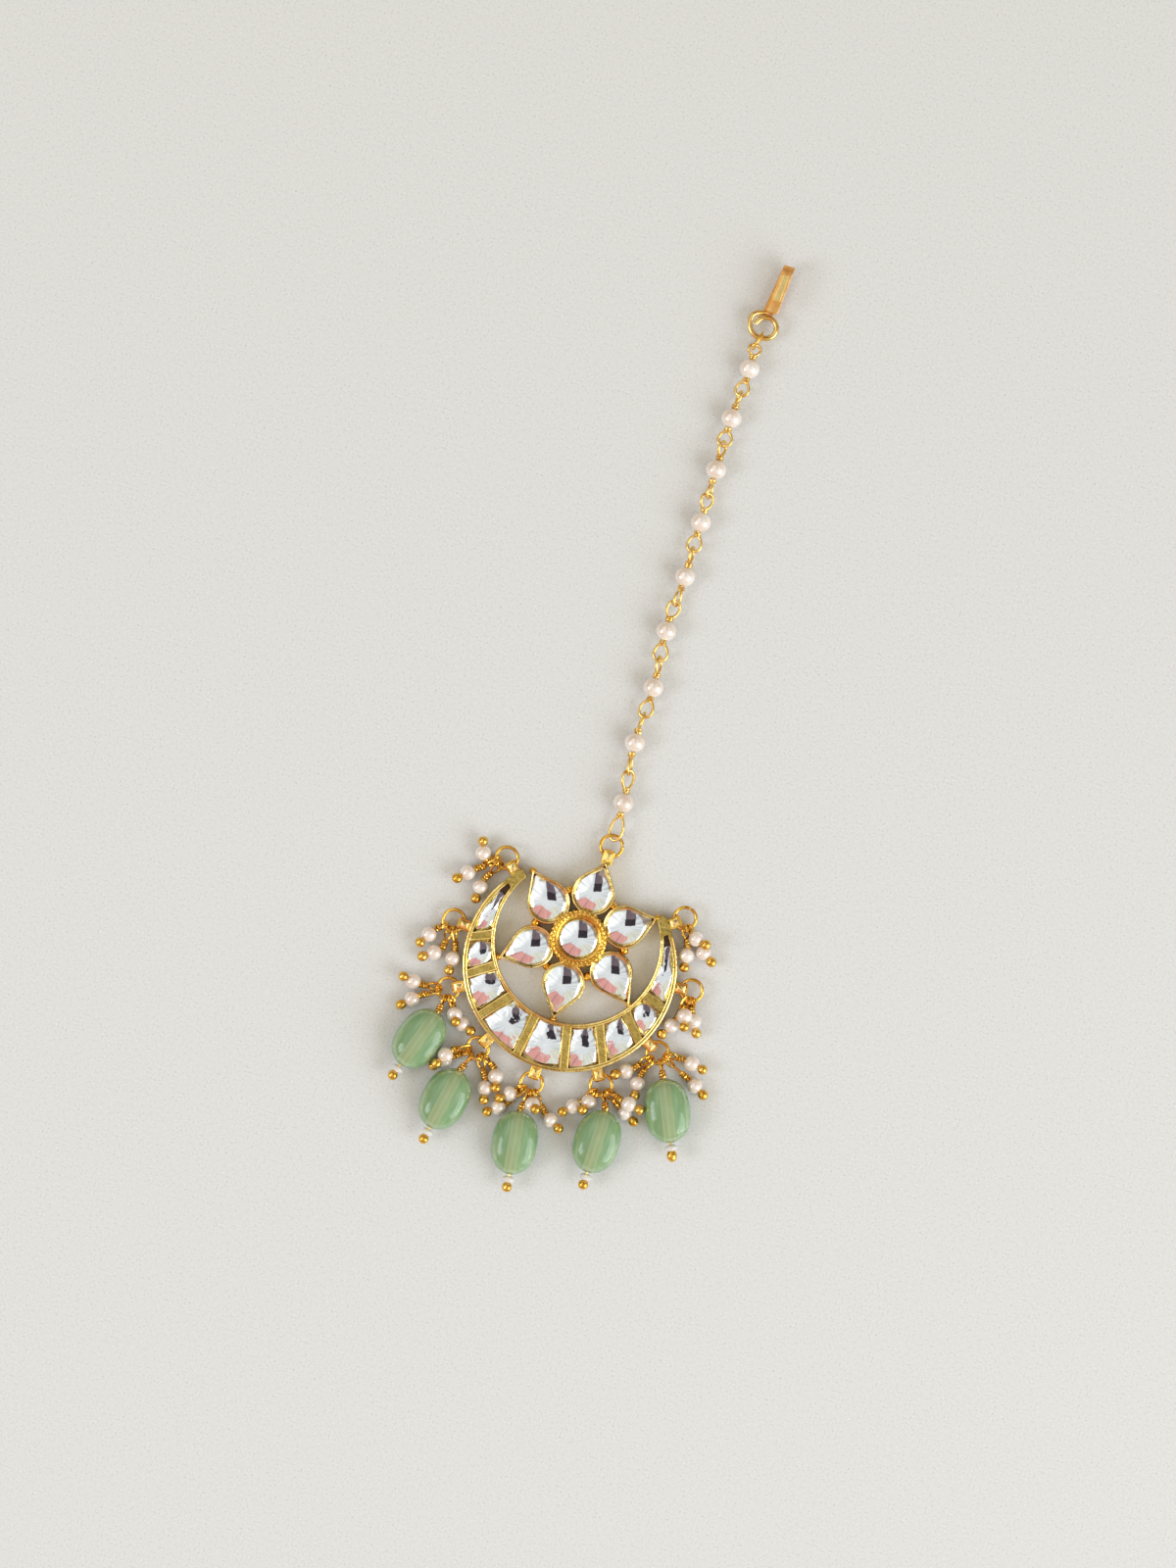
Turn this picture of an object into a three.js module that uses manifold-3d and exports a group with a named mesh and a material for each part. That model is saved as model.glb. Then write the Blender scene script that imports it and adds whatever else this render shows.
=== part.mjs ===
// Forehead jewel: stone-set crescent and flower, bunches of small pearls, green drops, chain and hook.
// Millimetres. It lies flat on Z = 0, with +Y along its length from the pendant to the hook.
import * as THREE from 'three';
import { ParametricGeometry } from 'three/addons/geometries/ParametricGeometry.js';
import { mergeVertices } from 'three/addons/utils/BufferGeometryUtils.js';
import Module from 'manifold-3d';

const wasm = await Module();
wasm.setup();

// Clearances
const MESH_GAP = 0.3;        // between a stone and its collet, and a bead and its pin
const WIRE_GAP = 0.3;        // between two wires that pass through each other
const SINK = 0.15;           // how far soldered pieces run into each other
const JOIN_TOLERANCE = 0.14; // short edges where fused wires cross are drawn together

// Facets
const WIRE_SIDES = 5;
const RING_SEGMENTS = 10;    // of a jump ring and of a link's eye
const TURNED_SIDES = 10;     // of pearls, balls and collars
const HOOKED_STEPS = 3;
const PEARL_ROWS = [-0.4, 0.4, 0.93]; // by shares of the radius, towards the ball
const BALL_ROWS = [0.15];
const CHAIN_PEARL_ROWS = [-0.33, 0.33];
const BEAD_SIDES = 12;
const DRILL_SIDES = 6;
const ROUND_STONE_SIDES = 12;
const PETAL_STEPS = 8;
const GRAIN_SIDES = 5;
const OUTER_STEPS = 28;      // along the crescent's outer edge
const INNER_STEPS = 22;
const CELL_OUTER_STEPS = 4;  // along one cell
const CELL_INNER_STEPS = 3;
const BEND_STEPS = 5;
const PIGTAIL_STEPS = 16;

// Flower
const CENTRE_RADIUS = 4.75;
const CENTRE_POCKET_R = 3.75;
const CENTRE_HEIGHT = 3;
const ROPE_HEIGHT = 0.6;     // how far the roped bezel stands above its collet
const ROPE_DEPTH = 0.3;      // of the grooves between its strands
const ROPE_STRANDS = 14;
const PETAL_RADIUS = 3.67;
const PETAL_OVERLAP = 0.47;  // how far a petal's round end runs into the centre collet
const PETAL_REACH = CENTRE_RADIUS + PETAL_RADIUS - PETAL_OVERLAP; // to a petal's round centre
const PETAL_WALL = 0.62;
const PETAL_HEIGHT = 3;
const GRAIN_RADIUS = 0.75;   // solder grains that join petals and crescent
const GRAIN_HEIGHT = 2;

// Crescent channel: its two edges are circles that would touch above the flower.
const OPENING_REACH = 1.6485; // from a petal's round centre to the inner edge, by petal radii
const OPENING_R = PETAL_REACH + OPENING_REACH * PETAL_RADIUS;
const OPENING_Y = -0.6;      // inner edge's centre, from the flower's centre
const BAND_MEAN = 4.15;      // half of the channel's width at its widest
const CRESCENT_R = OPENING_R + BAND_MEAN;
const CRESCENT_Y = OPENING_Y - BAND_MEAN;
const HORN_ANGLE = 44;       // where a horn ends, from +Y round the outer circle
const HORN_SOLID_ANGLE = 55; // where its pocket ends
const OUTER_WALL = 0.75;
const INNER_WALL = 0.6;
const BAR_WIDTH = 1.5;
const CRESCENT_HEIGHT = 2.8;
const BACK_THICKNESS = 0.5;

// Stones
const STONE_RISE = 0.25;     // how far a table stands above its rim
const CROWN_HEIGHT = 0.75;
const TABLE_SHARE = 0.72;    // the table's size against the girdle
const HORN_STONE_ANGLE = 61; // where the two end stones' tips lie, from +Y

// Strap loops and jump rings
const LOOP_LENGTH = 2.2;
const LOOP_WIDTH = 1.5;
const LOOP_STRAP = 0.38;
const LOOP_PLAY = 0.45;      // from a loop's far side to the ring's wire, which curves in its corners
const RING_WIRE_R = 0.3;
const RING_R = 1.85;         // middle line of the wire
const RING_Z = 1.5;

// Small pearl drops
const DROP_WIRE_R = 0.22;
const PEARL_R = 1.35;
const END_BALL_R = 0.88;
const COIL_R = 0.55;         // wrapped collar above a green bead
const COIL_LENGTH = 0.8;
const NECK_LOW = 0.5;        // lowest height of a pearl's wired end
const WIRE_START = 0.33;     // from the jump ring's centre to where a drop's wire comes up

// Green drops
const BEAD_LENGTH = 10.8;
const BEAD_WIDTH = 7.8;
const BEAD_THICKNESS = 5.2;
const BEAD_HOLE_R = 0.65;
const BEAD_PIN_R = 0.3;
const SEED_BEAD_R = 1.1;
const SEED_BEAD_LENGTH = 1.2;

// Chain
const CHAIN_LENGTH = 84.2;   // from the top jump ring's centre to the last pearl
const CHAIN_PEARL_R = 1.75;
const CHAIN_WIRE_R = 0.25;
const CHAIN_COLLAR_R = 0.58;
const CHAIN_COLLAR_LENGTH = 0.8;
const CHAIN_EYE_WIDTH = 1.12; // half width
const CHAIN_ROLL = 15;       // how far a lower eye leans from upright; an upper eye is square to it

// Hook
const STRIP_WIDTH = 1.9;
const STRIP_THICKNESS = 0.5;
const ARM_LENGTH = 8.6;
const FOLD_HEIGHT = 3.4;     // from the under side of the lower arm to the top of the upper arm
const HOOK_BASE = 0.9;       // height of the lower arm's under side
const UPPER_ARM_LEAN = 2.8;
const LOWER_ARM_LEAN = 7;
const PANEL_LENGTH = 4.6;
const PANEL_WIDTH = 1.15;
const PANEL_RISE = 0.18;
const PANEL_START = 1.9;     // from the fold
const PIGTAIL_WIRE_R = 0.36;
const PIGTAIL_R = 1.8;
const PIGTAIL_START = 300;   // bearings between which its wire winds
const PIGTAIL_END = -88;
const PIGTAIL_POINTS = 16;
const FOLD_SHIFT = 0.63;     // how far right of the pigtail's centre the fold lies
const HOOK_RING_WIRE_R = 0.25;
const HOOK_RING_R = 1.55;

// Bearings are degrees from +Y, clockwise seen from above. A row stands for one bail and jump ring.
const RINGS = [
  { bearing: 311.5 }, { bearing: 273 }, { bearing: 241 }, { bearing: 210 }, { bearing: 180 },
  { bearing: 147.5 }, { bearing: 117 }, { bearing: 84 }, { bearing: 50 },
];

// Divider bars, each from the outer wall to the inner wall, by bearing from the outer centre.
const BARS = [
  { outer: 268, inner: 274 }, { outer: 247, inner: 252 }, { outer: 223, inner: 225 },
  { outer: 193, inner: 196.5 }, { outer: 165.5, inner: 164.5 }, { outer: 143.5, inner: 135.5 },
  { outer: 120, inner: 112 }, { outer: 97, inner: 94 },
];

// Petals: where the round part lies, the way the tip points, and how far from the round centre the
// tip lies, by petal radii.
const PETALS = [
  { bearing: 302.5, heading: 315, tip: 1.662 }, { bearing: 0, heading: 5, tip: 1.567 },
  { bearing: 58, heading: 57, tip: 1.58 }, { bearing: 118.5, heading: 133, tip: 1.717 },
  { bearing: 181, heading: 178, tip: 1.703 }, { bearing: 242, heading: 235, tip: 1.594 },
];

// Solder grains, by bearing and distance beyond the petals' round centres.
const GRAINS = [
  { bearing: 331, beyond: 0.35 }, { bearing: 29, beyond: 0.05 }, { bearing: 87, beyond: 0.05 },
  { bearing: 149, beyond: -1.25 }, { bearing: 211.5, beyond: -0.75 }, { bearing: 272, beyond: -0.15 },
];

// Small drops: ring number, the pearl's turn from the ring's outward bearing and its reach from the
// ring's centre, the way its ball points, how steeply it stands, and how far it is propped up.
const DROPS = [
  { ring: 1, turn: -48, reach: 4.1, head: 30, rise: 12, lift: 0 },
  { ring: 1, turn: -80, reach: 7.1, head: -87, rise: 15, lift: 0 },
  { ring: 1, turn: -107, reach: 6.7, head: -128, rise: 0, lift: 0 },
  { ring: 2, turn: -50, reach: 4.9, head: -63, rise: 20, lift: 0 },
  { ring: 2, turn: -79, reach: 6.4, head: -39, rise: 8, lift: 0 },
  { ring: 2, turn: -109, reach: 6.5, head: -93, rise: 8, lift: 0 },
  { ring: 3, turn: 23, reach: 6.1, head: 40, rise: 30, lift: 0 },
  { ring: 3, turn: -5, reach: 6.4, head: -16, rise: 0, lift: 0 },
  { ring: 3, turn: -93, reach: 4.5, head: -92, rise: 58, lift: 0.4 },
  { ring: 3, turn: -100, reach: 6.4, head: -131, rise: 20, lift: 0 },
  { ring: 4, turn: 31, reach: 5.5, head: 0, rise: 5, lift: 2.1 },
  { ring: 4, turn: 22, reach: 6, head: 16, rise: 0, lift: 0 },
  { ring: 4, turn: -58, reach: 6.9, head: -43, rise: 20, lift: 0 },
  { ring: 4, turn: -80, reach: 5.7, head: -50, rise: 30, lift: 0 },
  { ring: 5, turn: 46, reach: 4.2, head: 50, rise: 30, lift: 0 },
  { ring: 5, turn: 36, reach: 7.1, head: 52, rise: 20, lift: 0 },
  { ring: 5, turn: -20, reach: 3.6, head: -63, rise: 68, lift: 0.8 },
  { ring: 5, turn: -45, reach: 7.1, head: -63, rise: 25, lift: 0 },
  { ring: 6, turn: 67, reach: 6, head: 80, rise: 19, lift: 0 },
  { ring: 6, turn: 50, reach: 3.6, head: 55, rise: 44, lift: 0 },
  { ring: 6, turn: -26, reach: 6.2, head: -30, rise: 0, lift: 0 },
  { ring: 6, turn: -42, reach: 5.6, head: -48, rise: 10, lift: 2 },
  { ring: 7, turn: 105, reach: 6.3, head: 120, rise: 27, lift: 0 },
  { ring: 7, turn: 78, reach: 6.3, head: 59, rise: 15, lift: 0 },
  { ring: 7, turn: -27, reach: 6.1, head: -16, rise: 11, lift: 0 },
  { ring: 7, turn: -3, reach: 8.4, head: 3, rise: 0, lift: 0 },
  { ring: 8, turn: 109, reach: 6.9, head: 123, rise: 5, lift: 0 },
  { ring: 8, turn: 94, reach: 4.4, head: 80, rise: 30, lift: 0.9 },
  { ring: 8, turn: 74, reach: 5.2, head: 66, rise: 0, lift: 0 },
  { ring: 9, turn: 84, reach: 3.9, head: 53, rise: 24, lift: 0.9 },
  { ring: 9, turn: 110, reach: 6.3, head: 122, rise: 0, lift: 0 },
  { ring: 9, turn: 84, reach: 6.6, head: 72, rise: 0, lift: 0 },
];

// Green drops: ring number, the bead's middle by turn and reach, and the way its lower end points.
const GREEN_DROPS = [
  { ring: 3, turn: -49, reach: 9.7, head: -43 }, { ring: 4, turn: -15, reach: 10.2, head: -20 },
  { ring: 5, turn: -2, reach: 10.4, head: -8 }, { ring: 6, turn: 19, reach: 9.5, head: 32 },
  { ring: 7, turn: 36, reach: 9.9, head: 39 },
];

// The chain's pearls, from the top jump ring's centre to the hook: how far each lies to the side of
// the flower's centre, and its share of the chain's length beyond the one before.
const CHAIN_PEARLS = [
  { side: 0.1, step: 7.6 }, { side: -1.2, step: 10.3 }, { side: -1.1, step: 9.9 },
  { side: -2, step: 9.8 }, { side: -1.8, step: 9.7 }, { side: -2.1, step: 9.6 },
  { side: -2.4, step: 9.3 }, { side: -2.6, step: 9.1 }, { side: -2.3, step: 8.9 },
];

const PIGTAIL_SIDE = -1.8;
const PIGTAIL_STEP = 7.45;    // from the last pearl
const HOOK_RING_BEARING = 193;

const GOLD = { color: 0xd9ad4f, roughness: 0.28, metalness: 1 };
const FOIL_GLASS = { color: 0xdfe3e6, roughness: 0.08, metalness: 0.1 };
const GREEN_GLASS = { color: 0x86a886, roughness: 0.12, metalness: 0 };
const PEARL = { color: 0xeee2dc, roughness: 0.22, metalness: 0 };

const radians = THREE.MathUtils.degToRad;

// Plane helpers

function polar(bearing, reach, centre = { x: 0, y: 0 }) {
  const angle = radians(bearing);
  return new THREE.Vector2(centre.x + reach * Math.sin(angle), centre.y + reach * Math.cos(angle));
}

const OUTER_CENTRE = { x: 0, y: CRESCENT_Y };
const OPENING_CENTRE = { x: 0, y: OPENING_Y };

// Where a ray from the crescent's outer centre meets a circle round the opening's centre.
function reachOfOpening(bearing, radius) {
  const shift = OPENING_Y - CRESCENT_Y;
  const angle = radians(bearing);
  return shift * Math.cos(angle) + Math.sqrt(radius ** 2 - (shift * Math.sin(angle)) ** 2);
}

function pointOnOpening(bearing, radius) {
  return polar(bearing, reachOfOpening(bearing, radius), OUTER_CENTRE);
}

function arc(from, to, steps, place) {
  const points = [];
  for (let i = 0; i <= steps; i += 1) {
    points.push(place(from + ((to - from) * i) / steps));
  }
  return points;
}

function counterClockwise(points) {
  return THREE.ShapeUtils.area(points) < 0 ? points.slice().reverse() : points;
}

// Moves every side of a closed outline inwards by the same distance.
function insetOutline(points, distance) {
  const outline = counterClockwise(points);
  const count = outline.length;
  return outline.map((point, i) => {
    const before = outline[(i + count - 1) % count];
    const after = outline[(i + 1) % count];
    const sideIn = point.clone().sub(before).normalize();
    const sideOut = after.clone().sub(point).normalize();
    const normalIn = new THREE.Vector2(-sideIn.y, sideIn.x);
    const normalOut = new THREE.Vector2(-sideOut.y, sideOut.x);
    const mitre = normalIn.clone().add(normalOut).normalize();
    return point.clone().addScaledVector(mitre, distance / mitre.dot(normalOut));
  });
}

// Solid helpers

function toManifold(geometry) {
  const plain = geometry.clone();
  plain.deleteAttribute('normal');
  plain.deleteAttribute('uv');
  const merged = mergeVertices(plain, 1e-4);
  return new wasm.Manifold(new wasm.Mesh({
    numProp: 3,
    vertProperties: new Float32Array(merged.attributes.position.array),
    triVerts: new Uint32Array(merged.index.array),
  }));
}

function toGeometry(solid) {
  const mesh = solid.getMesh();
  const geometry = new THREE.BufferGeometry();
  geometry.setAttribute('position', new THREE.BufferAttribute(new Float32Array(mesh.vertProperties), 3));
  geometry.setIndex(new THREE.BufferAttribute(new Uint32Array(mesh.triVerts), 1));
  return geometry;
}

function fuse(solids) {
  return solids.reduce((whole, solid) => whole.add(solid)).simplify(JOIN_TOLERANCE);
}

function slab(points, bottom, top) {
  const shape = new THREE.Shape(counterClockwise(points));
  const geometry = new THREE.ExtrudeGeometry(shape, { depth: top - bottom, bevelEnabled: false });
  geometry.translate(0, 0, bottom);
  return toManifold(geometry);
}

function circleOutline(radius, sides, centre = { x: 0, y: 0 }) {
  return arc(0, 360 - 360 / sides, sides - 1, (bearing) => polar(bearing, radius, centre));
}

// A closed oval of round wire from one end to the other. Its plane leans from upright.
function wireOval(from, to, halfWidth, lean, wireRadius) {
  const along = to.clone().sub(from);
  const halfLength = along.length() / 2;
  along.normalize();
  const level = new THREE.Vector3(-along.y, along.x, 0).normalize();
  const upright = along.clone().cross(level).normalize();
  const tilt = radians(lean);
  const across = upright.multiplyScalar(Math.cos(tilt)).addScaledVector(level, Math.sin(tilt));
  const normal = along.clone().cross(across);
  const middle = from.clone().add(to).multiplyScalar(0.5);
  const geometry = new ParametricGeometry((u, v, target) => {
    const round = u * 2 * Math.PI;
    const section = v * 2 * Math.PI;
    const outward = along.clone().multiplyScalar(halfWidth * Math.cos(round));
    outward.addScaledVector(across, halfLength * Math.sin(round)).normalize();
    target.copy(middle);
    target.addScaledVector(along, halfLength * Math.cos(round));
    target.addScaledVector(across, halfWidth * Math.sin(round));
    target.addScaledVector(outward, wireRadius * Math.cos(section));
    target.addScaledVector(normal, -wireRadius * Math.sin(section));
  }, RING_SEGMENTS, WIRE_SIDES);
  return outwardFacing(geometry);
}

// Turns a closed surface inside out when its faces point inwards.
function outwardFacing(geometry) {
  const solid = toManifold(geometry);
  if (solid.volume() > 0) {
    return solid;
  }
  const flipped = geometry.clone();
  flipped.index.array.reverse();
  return toManifold(flipped);
}

function material(look, name) {
  const made = new THREE.MeshStandardMaterial(look);
  made.name = name;
  return made;
}

function node(name, solid, look, slot) {
  const mesh = new THREE.Mesh(toGeometry(solid), material(look, slot));
  mesh.name = name;
  return mesh;
}

// Crescent

function crescentOutline() {
  const onOuter = (bearing) => polar(bearing, CRESCENT_R, OUTER_CENTRE);
  const onInner = (bearing) => pointOnOpening(bearing, OPENING_R);
  const outer = arc(HORN_ANGLE, 360 - HORN_ANGLE, OUTER_STEPS, onOuter);
  return outer.concat(arc(360 - HORN_ANGLE, HORN_ANGLE, INNER_STEPS, onInner));
}

// The nine cells between the horns and bars, each with its outer and inner bearings.
function crescentCells(hornAngle) {
  const stops = [
    { outer: 360 - hornAngle, inner: 360 - hornAngle, half: 0 },
    ...BARS.map((bar) => ({ outer: bar.outer, inner: bar.inner, half: BAR_WIDTH / 2 })),
    { outer: hornAngle, inner: hornAngle, half: 0 },
  ];
  return stops.slice(1).map((low, i) => ({ high: stops[i], low }));
}

function cellOutline(cell) {
  const outerR = CRESCENT_R - OUTER_WALL;
  const innerR = OPENING_R + INNER_WALL;
  const shave = (half, reach) => THREE.MathUtils.radToDeg(half / reach);
  const outer = arc(
    cell.low.outer + shave(cell.low.half, outerR),
    cell.high.outer - shave(cell.high.half, outerR),
    CELL_OUTER_STEPS,
    (bearing) => polar(bearing, outerR, OUTER_CENTRE),
  );
  const highReach = reachOfOpening(cell.high.inner, innerR);
  const lowReach = reachOfOpening(cell.low.inner, innerR);
  const inner = arc(
    cell.high.inner - shave(cell.high.half, highReach),
    cell.low.inner + shave(cell.low.half, lowReach),
    CELL_INNER_STEPS,
    (bearing) => pointOnOpening(bearing, innerR),
  );
  return outer.concat(inner);
}

function crescent() {
  let body = slab(crescentOutline(), 0, CRESCENT_HEIGHT);
  crescentCells(HORN_SOLID_ANGLE).forEach((cell) => {
    body = body.subtract(slab(cellOutline(cell), BACK_THICKNESS, CRESCENT_HEIGHT + 1));
  });
  return body;
}

// Flower

function petalTip(petal, radius = PETAL_RADIUS) {
  return polar(petal.heading, petal.tip * radius, polar(petal.bearing, PETAL_REACH));
}

// A pear with straight flanks. A smaller one round the same centre lies inside it by an even wall.
function petalOutline(petal, wall) {
  const radius = PETAL_RADIUS - wall;
  const centre = polar(petal.bearing, PETAL_REACH);
  const flank = THREE.MathUtils.radToDeg(Math.acos(1 / petal.tip));
  const onRound = (bearing) => polar(bearing, radius, centre);
  const round = arc(petal.heading + flank, petal.heading + 360 - flank, PETAL_STEPS, onRound);
  return [petalTip(petal, radius), ...round];
}

// The centre collet, closed below. Its bezel rises to a rope that grooves cut across.
function centreCollet() {
  const crest = (CENTRE_RADIUS + CENTRE_POCKET_R) / 2;
  const profile = [
    { out: 0, up: 0, groove: 0 }, { out: CENTRE_RADIUS, up: 0, groove: 0 },
    { out: CENTRE_RADIUS, up: CENTRE_HEIGHT, groove: 0.5 },
    { out: crest, up: CENTRE_HEIGHT + ROPE_HEIGHT, groove: 1 },
    { out: CENTRE_POCKET_R, up: CENTRE_HEIGHT, groove: 0 },
    { out: CENTRE_POCKET_R, up: BACK_THICKNESS, groove: 0 }, { out: 0, up: BACK_THICKNESS, groove: 0 },
  ];
  const geometry = new ParametricGeometry((u, v, target) => {
    const row = profile[Math.round(v * (profile.length - 1))];
    const inGroove = Math.round(u * 2 * ROPE_STRANDS) % 2;
    const round = u * 2 * Math.PI;
    const sunk = inGroove * row.groove * ROPE_DEPTH;
    target.set(row.out * Math.cos(round), row.out * Math.sin(round), row.up - sunk);
  }, 2 * ROPE_STRANDS, profile.length - 1);
  return outwardFacing(geometry);
}

function grain(place) {
  return slab(circleOutline(GRAIN_RADIUS, GRAIN_SIDES, place), 0, GRAIN_HEIGHT);
}

// Where a petal's tip comes near the crescent's inner wall, a grain joins the two.
function tipGrains() {
  return PETALS.filter((petal) => petal.bearing > 0).map((petal) => {
    const tip = petalTip(petal);
    const away = tip.clone().sub(OPENING_CENTRE);
    const wall = away.clone().normalize().multiplyScalar(OPENING_R).add(OPENING_CENTRE);
    return grain(tip.add(wall).multiplyScalar(0.5));
  });
}

function flower() {
  const collets = PETALS.map((petal) => slab(petalOutline(petal, 0), 0, PETAL_HEIGHT));
  const grains = GRAINS.map((row) => grain(polar(row.bearing, PETAL_REACH + row.beyond)));
  const centreBlank = slab(circleOutline(CENTRE_POCKET_R + SINK, ROUND_STONE_SIDES), 0, CENTRE_HEIGHT);
  let body = fuse([...collets, ...grains, ...tipGrains()]).subtract(centreBlank).add(centreCollet());
  PETALS.forEach((petal) => {
    body = body.subtract(slab(petalOutline(petal, PETAL_WALL), BACK_THICKNESS, PETAL_HEIGHT + 1));
  });
  return body;
}

// Strap loop: a band bent round a hole that lies crosswise to the outward bearing.

function strapLoop(edge, bearing) {
  const half = RING_WIRE_R + WIRE_GAP + LOOP_STRAP;
  const bandSide = [
    new THREE.Vector2(-OUTER_WALL / 2, half), new THREE.Vector2(LOOP_LENGTH - LOOP_STRAP, half),
    new THREE.Vector2(LOOP_LENGTH, half - LOOP_STRAP), new THREE.Vector2(LOOP_LENGTH, LOOP_STRAP - half),
    new THREE.Vector2(LOOP_LENGTH - LOOP_STRAP, -half), new THREE.Vector2(-OUTER_WALL / 2, -half),
  ];
  const inner = half - LOOP_STRAP;
  const holeSide = [
    new THREE.Vector2(LOOP_STRAP / 2, inner), new THREE.Vector2(LOOP_LENGTH - LOOP_STRAP, inner),
    new THREE.Vector2(LOOP_LENGTH - LOOP_STRAP, -inner), new THREE.Vector2(LOOP_STRAP / 2, -inner),
  ];
  const band = slab(bandSide, -LOOP_WIDTH / 2, LOOP_WIDTH / 2);
  const hole = slab(holeSide, -LOOP_WIDTH, LOOP_WIDTH);
  const upright = band.subtract(hole).rotate([90, 0, 0]);
  return upright.rotate([0, 0, 90 - bearing]).translate([edge.x, edge.y, RING_Z]);
}

// From the setting's edge to a jump ring's centre.
function ringReach() {
  return LOOP_LENGTH - LOOP_STRAP - LOOP_PLAY - RING_WIRE_R + RING_R;
}

const TOP_PETAL_TIP = petalTip(PETALS[1]);
const TOP_RING_CENTRE = polar(0, ringReach(), TOP_PETAL_TIP);

// Where each pearl of the chain lies.
function chainRoute() {
  const whole = CHAIN_PEARLS.reduce((sum, { step }) => sum + step, 0);
  let share = 0;
  return CHAIN_PEARLS.map(({ side, step }) => {
    share += step / whole;
    return new THREE.Vector2(side, TOP_RING_CENTRE.y + share * CHAIN_LENGTH);
  });
}

const CHAIN_ROUTE = chainRoute();
const PIGTAIL_CENTRE = { x: PIGTAIL_SIDE, y: TOP_RING_CENTRE.y + CHAIN_LENGTH + PIGTAIL_STEP };

function ringCentre(number) {
  return polar(RINGS[number - 1].bearing, CRESCENT_R + ringReach(), OUTER_CENTRE);
}

function setting() {
  const loops = RINGS.map(({ bearing }) => strapLoop(polar(bearing, CRESCENT_R, OUTER_CENTRE), bearing));
  const topLoop = strapLoop(TOP_PETAL_TIP, 0);
  return fuse([crescent(), flower(), ...loops, topLoop]);
}

// Stones: a girdle outline, with a crown of facets up to a table.

function cutStone(outline, rimHeight) {
  const girdle = counterClockwise(outline);
  const centre = girdle.reduce((sum, p) => sum.add(p), new THREE.Vector2()).divideScalar(girdle.length);
  const table = girdle.map((p) => p.clone().sub(centre).multiplyScalar(TABLE_SHARE).add(centre));
  const top = rimHeight + STONE_RISE;
  const bottom = BACK_THICKNESS + MESH_GAP;
  const levels = [
    { outline: girdle, height: bottom }, { outline: girdle, height: top - CROWN_HEIGHT },
    { outline: table, height: top },
  ];
  const steps = levels.length - 1;
  const blank = { depth: steps, steps, bevelEnabled: false };
  const geometry = new THREE.ExtrudeGeometry(new THREE.Shape(girdle), blank);
  const spots = geometry.attributes.position;
  for (let i = 0; i < spots.count; i += 1) {
    const spot = new THREE.Vector2(spots.getX(i), spots.getY(i));
    const corner = girdle.findIndex((p) => p.distanceTo(spot) < 1e-4);
    const { outline: ring, height } = levels[Math.round(spots.getZ(i))];
    spots.setXYZ(i, ring[corner].x, ring[corner].y, height);
  }
  return toManifold(geometry);
}

function stones() {
  const made = crescentCells(HORN_STONE_ANGLE).map((cell, i) => {
    const outline = insetOutline(cellOutline(cell), MESH_GAP);
    return node(`crescent_stone_${i + 1}`, cutStone(outline, CRESCENT_HEIGHT), FOIL_GLASS, 'foil_glass');
  });
  PETALS.forEach((petal, i) => {
    const outline = petalOutline(petal, PETAL_WALL + MESH_GAP);
    made.push(node(`petal_stone_${i + 1}`, cutStone(outline, PETAL_HEIGHT), FOIL_GLASS, 'foil_glass'));
  });
  const round = circleOutline(CENTRE_POCKET_R - MESH_GAP, ROUND_STONE_SIDES);
  const centre = cutStone(round, CENTRE_HEIGHT);
  made.push(node('centre_stone', centre, FOIL_GLASS, 'foil_glass'));
  return made;
}

// Jump rings

function wireRing(radius, wireRadius) {
  return toManifold(new THREE.TorusGeometry(radius, wireRadius, WIRE_SIDES, RING_SEGMENTS));
}

function jumpRings() {
  const made = RINGS.map((row, i) => {
    const mesh = node(`jump_ring_${i + 1}`, wireRing(RING_R, RING_WIRE_R), GOLD, 'gold');
    const centre = ringCentre(i + 1);
    mesh.position.set(centre.x, centre.y, RING_Z);
    return mesh;
  });
  const top = node('jump_ring_top', wireRing(RING_R, RING_WIRE_R), GOLD, 'gold');
  top.position.set(TOP_RING_CENTRE.x, TOP_RING_CENTRE.y, RING_Z);
  return made.concat(top);
}

// Drops

// A turned piece on an axis through a point. Its rows give places along the axis and radii.
function turned(rows, start, axis) {
  const points = rows.map((row) => new THREE.Vector2(row.out, row.along));
  const geometry = new THREE.LatheGeometry(points, TURNED_SIDES);
  geometry.applyQuaternion(new THREE.Quaternion().setFromUnitVectors(new THREE.Vector3(0, 1, 0), axis));
  geometry.translate(start.x, start.y, start.z);
  return outwardFacing(geometry);
}

// Rows of a ball's profile, without its ends, by shares of its radius.
function ballRows(radius, middle, shares) {
  return shares.map((share) => ({
    along: middle + share * radius,
    out: radius * Math.sqrt(1 - share ** 2),
  }));
}

function openWire(points, radius, steps) {
  const section = new THREE.Shape(counterClockwise(circleOutline(radius, WIRE_SIDES)));
  const extrudePath = new THREE.CatmullRomCurve3(points);
  return outwardFacing(new THREE.ExtrudeGeometry(section, { steps, extrudePath, bevelEnabled: false }));
}

// The wire end of a drop: it comes up through the jump ring, passes over its wire and runs to the neck.
function hookedWire(centre, neck) {
  const along = new THREE.Vector2(neck.x - centre.x, neck.y - centre.y).normalize();
  const over = RING_Z + RING_WIRE_R + DROP_WIRE_R + WIRE_GAP;
  const clear = RING_R + RING_WIRE_R;
  const at = (reach, height) => {
    const spot = along.clone().multiplyScalar(reach).add(centre);
    return new THREE.Vector3(spot.x, spot.y, height);
  };
  const points = [at(WIRE_START, RING_Z), at(RING_R / 2, over), at(clear, Math.max(over, neck.z)), neck];
  return openWire(points, DROP_WIRE_R, HOOKED_STEPS);
}

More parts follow.
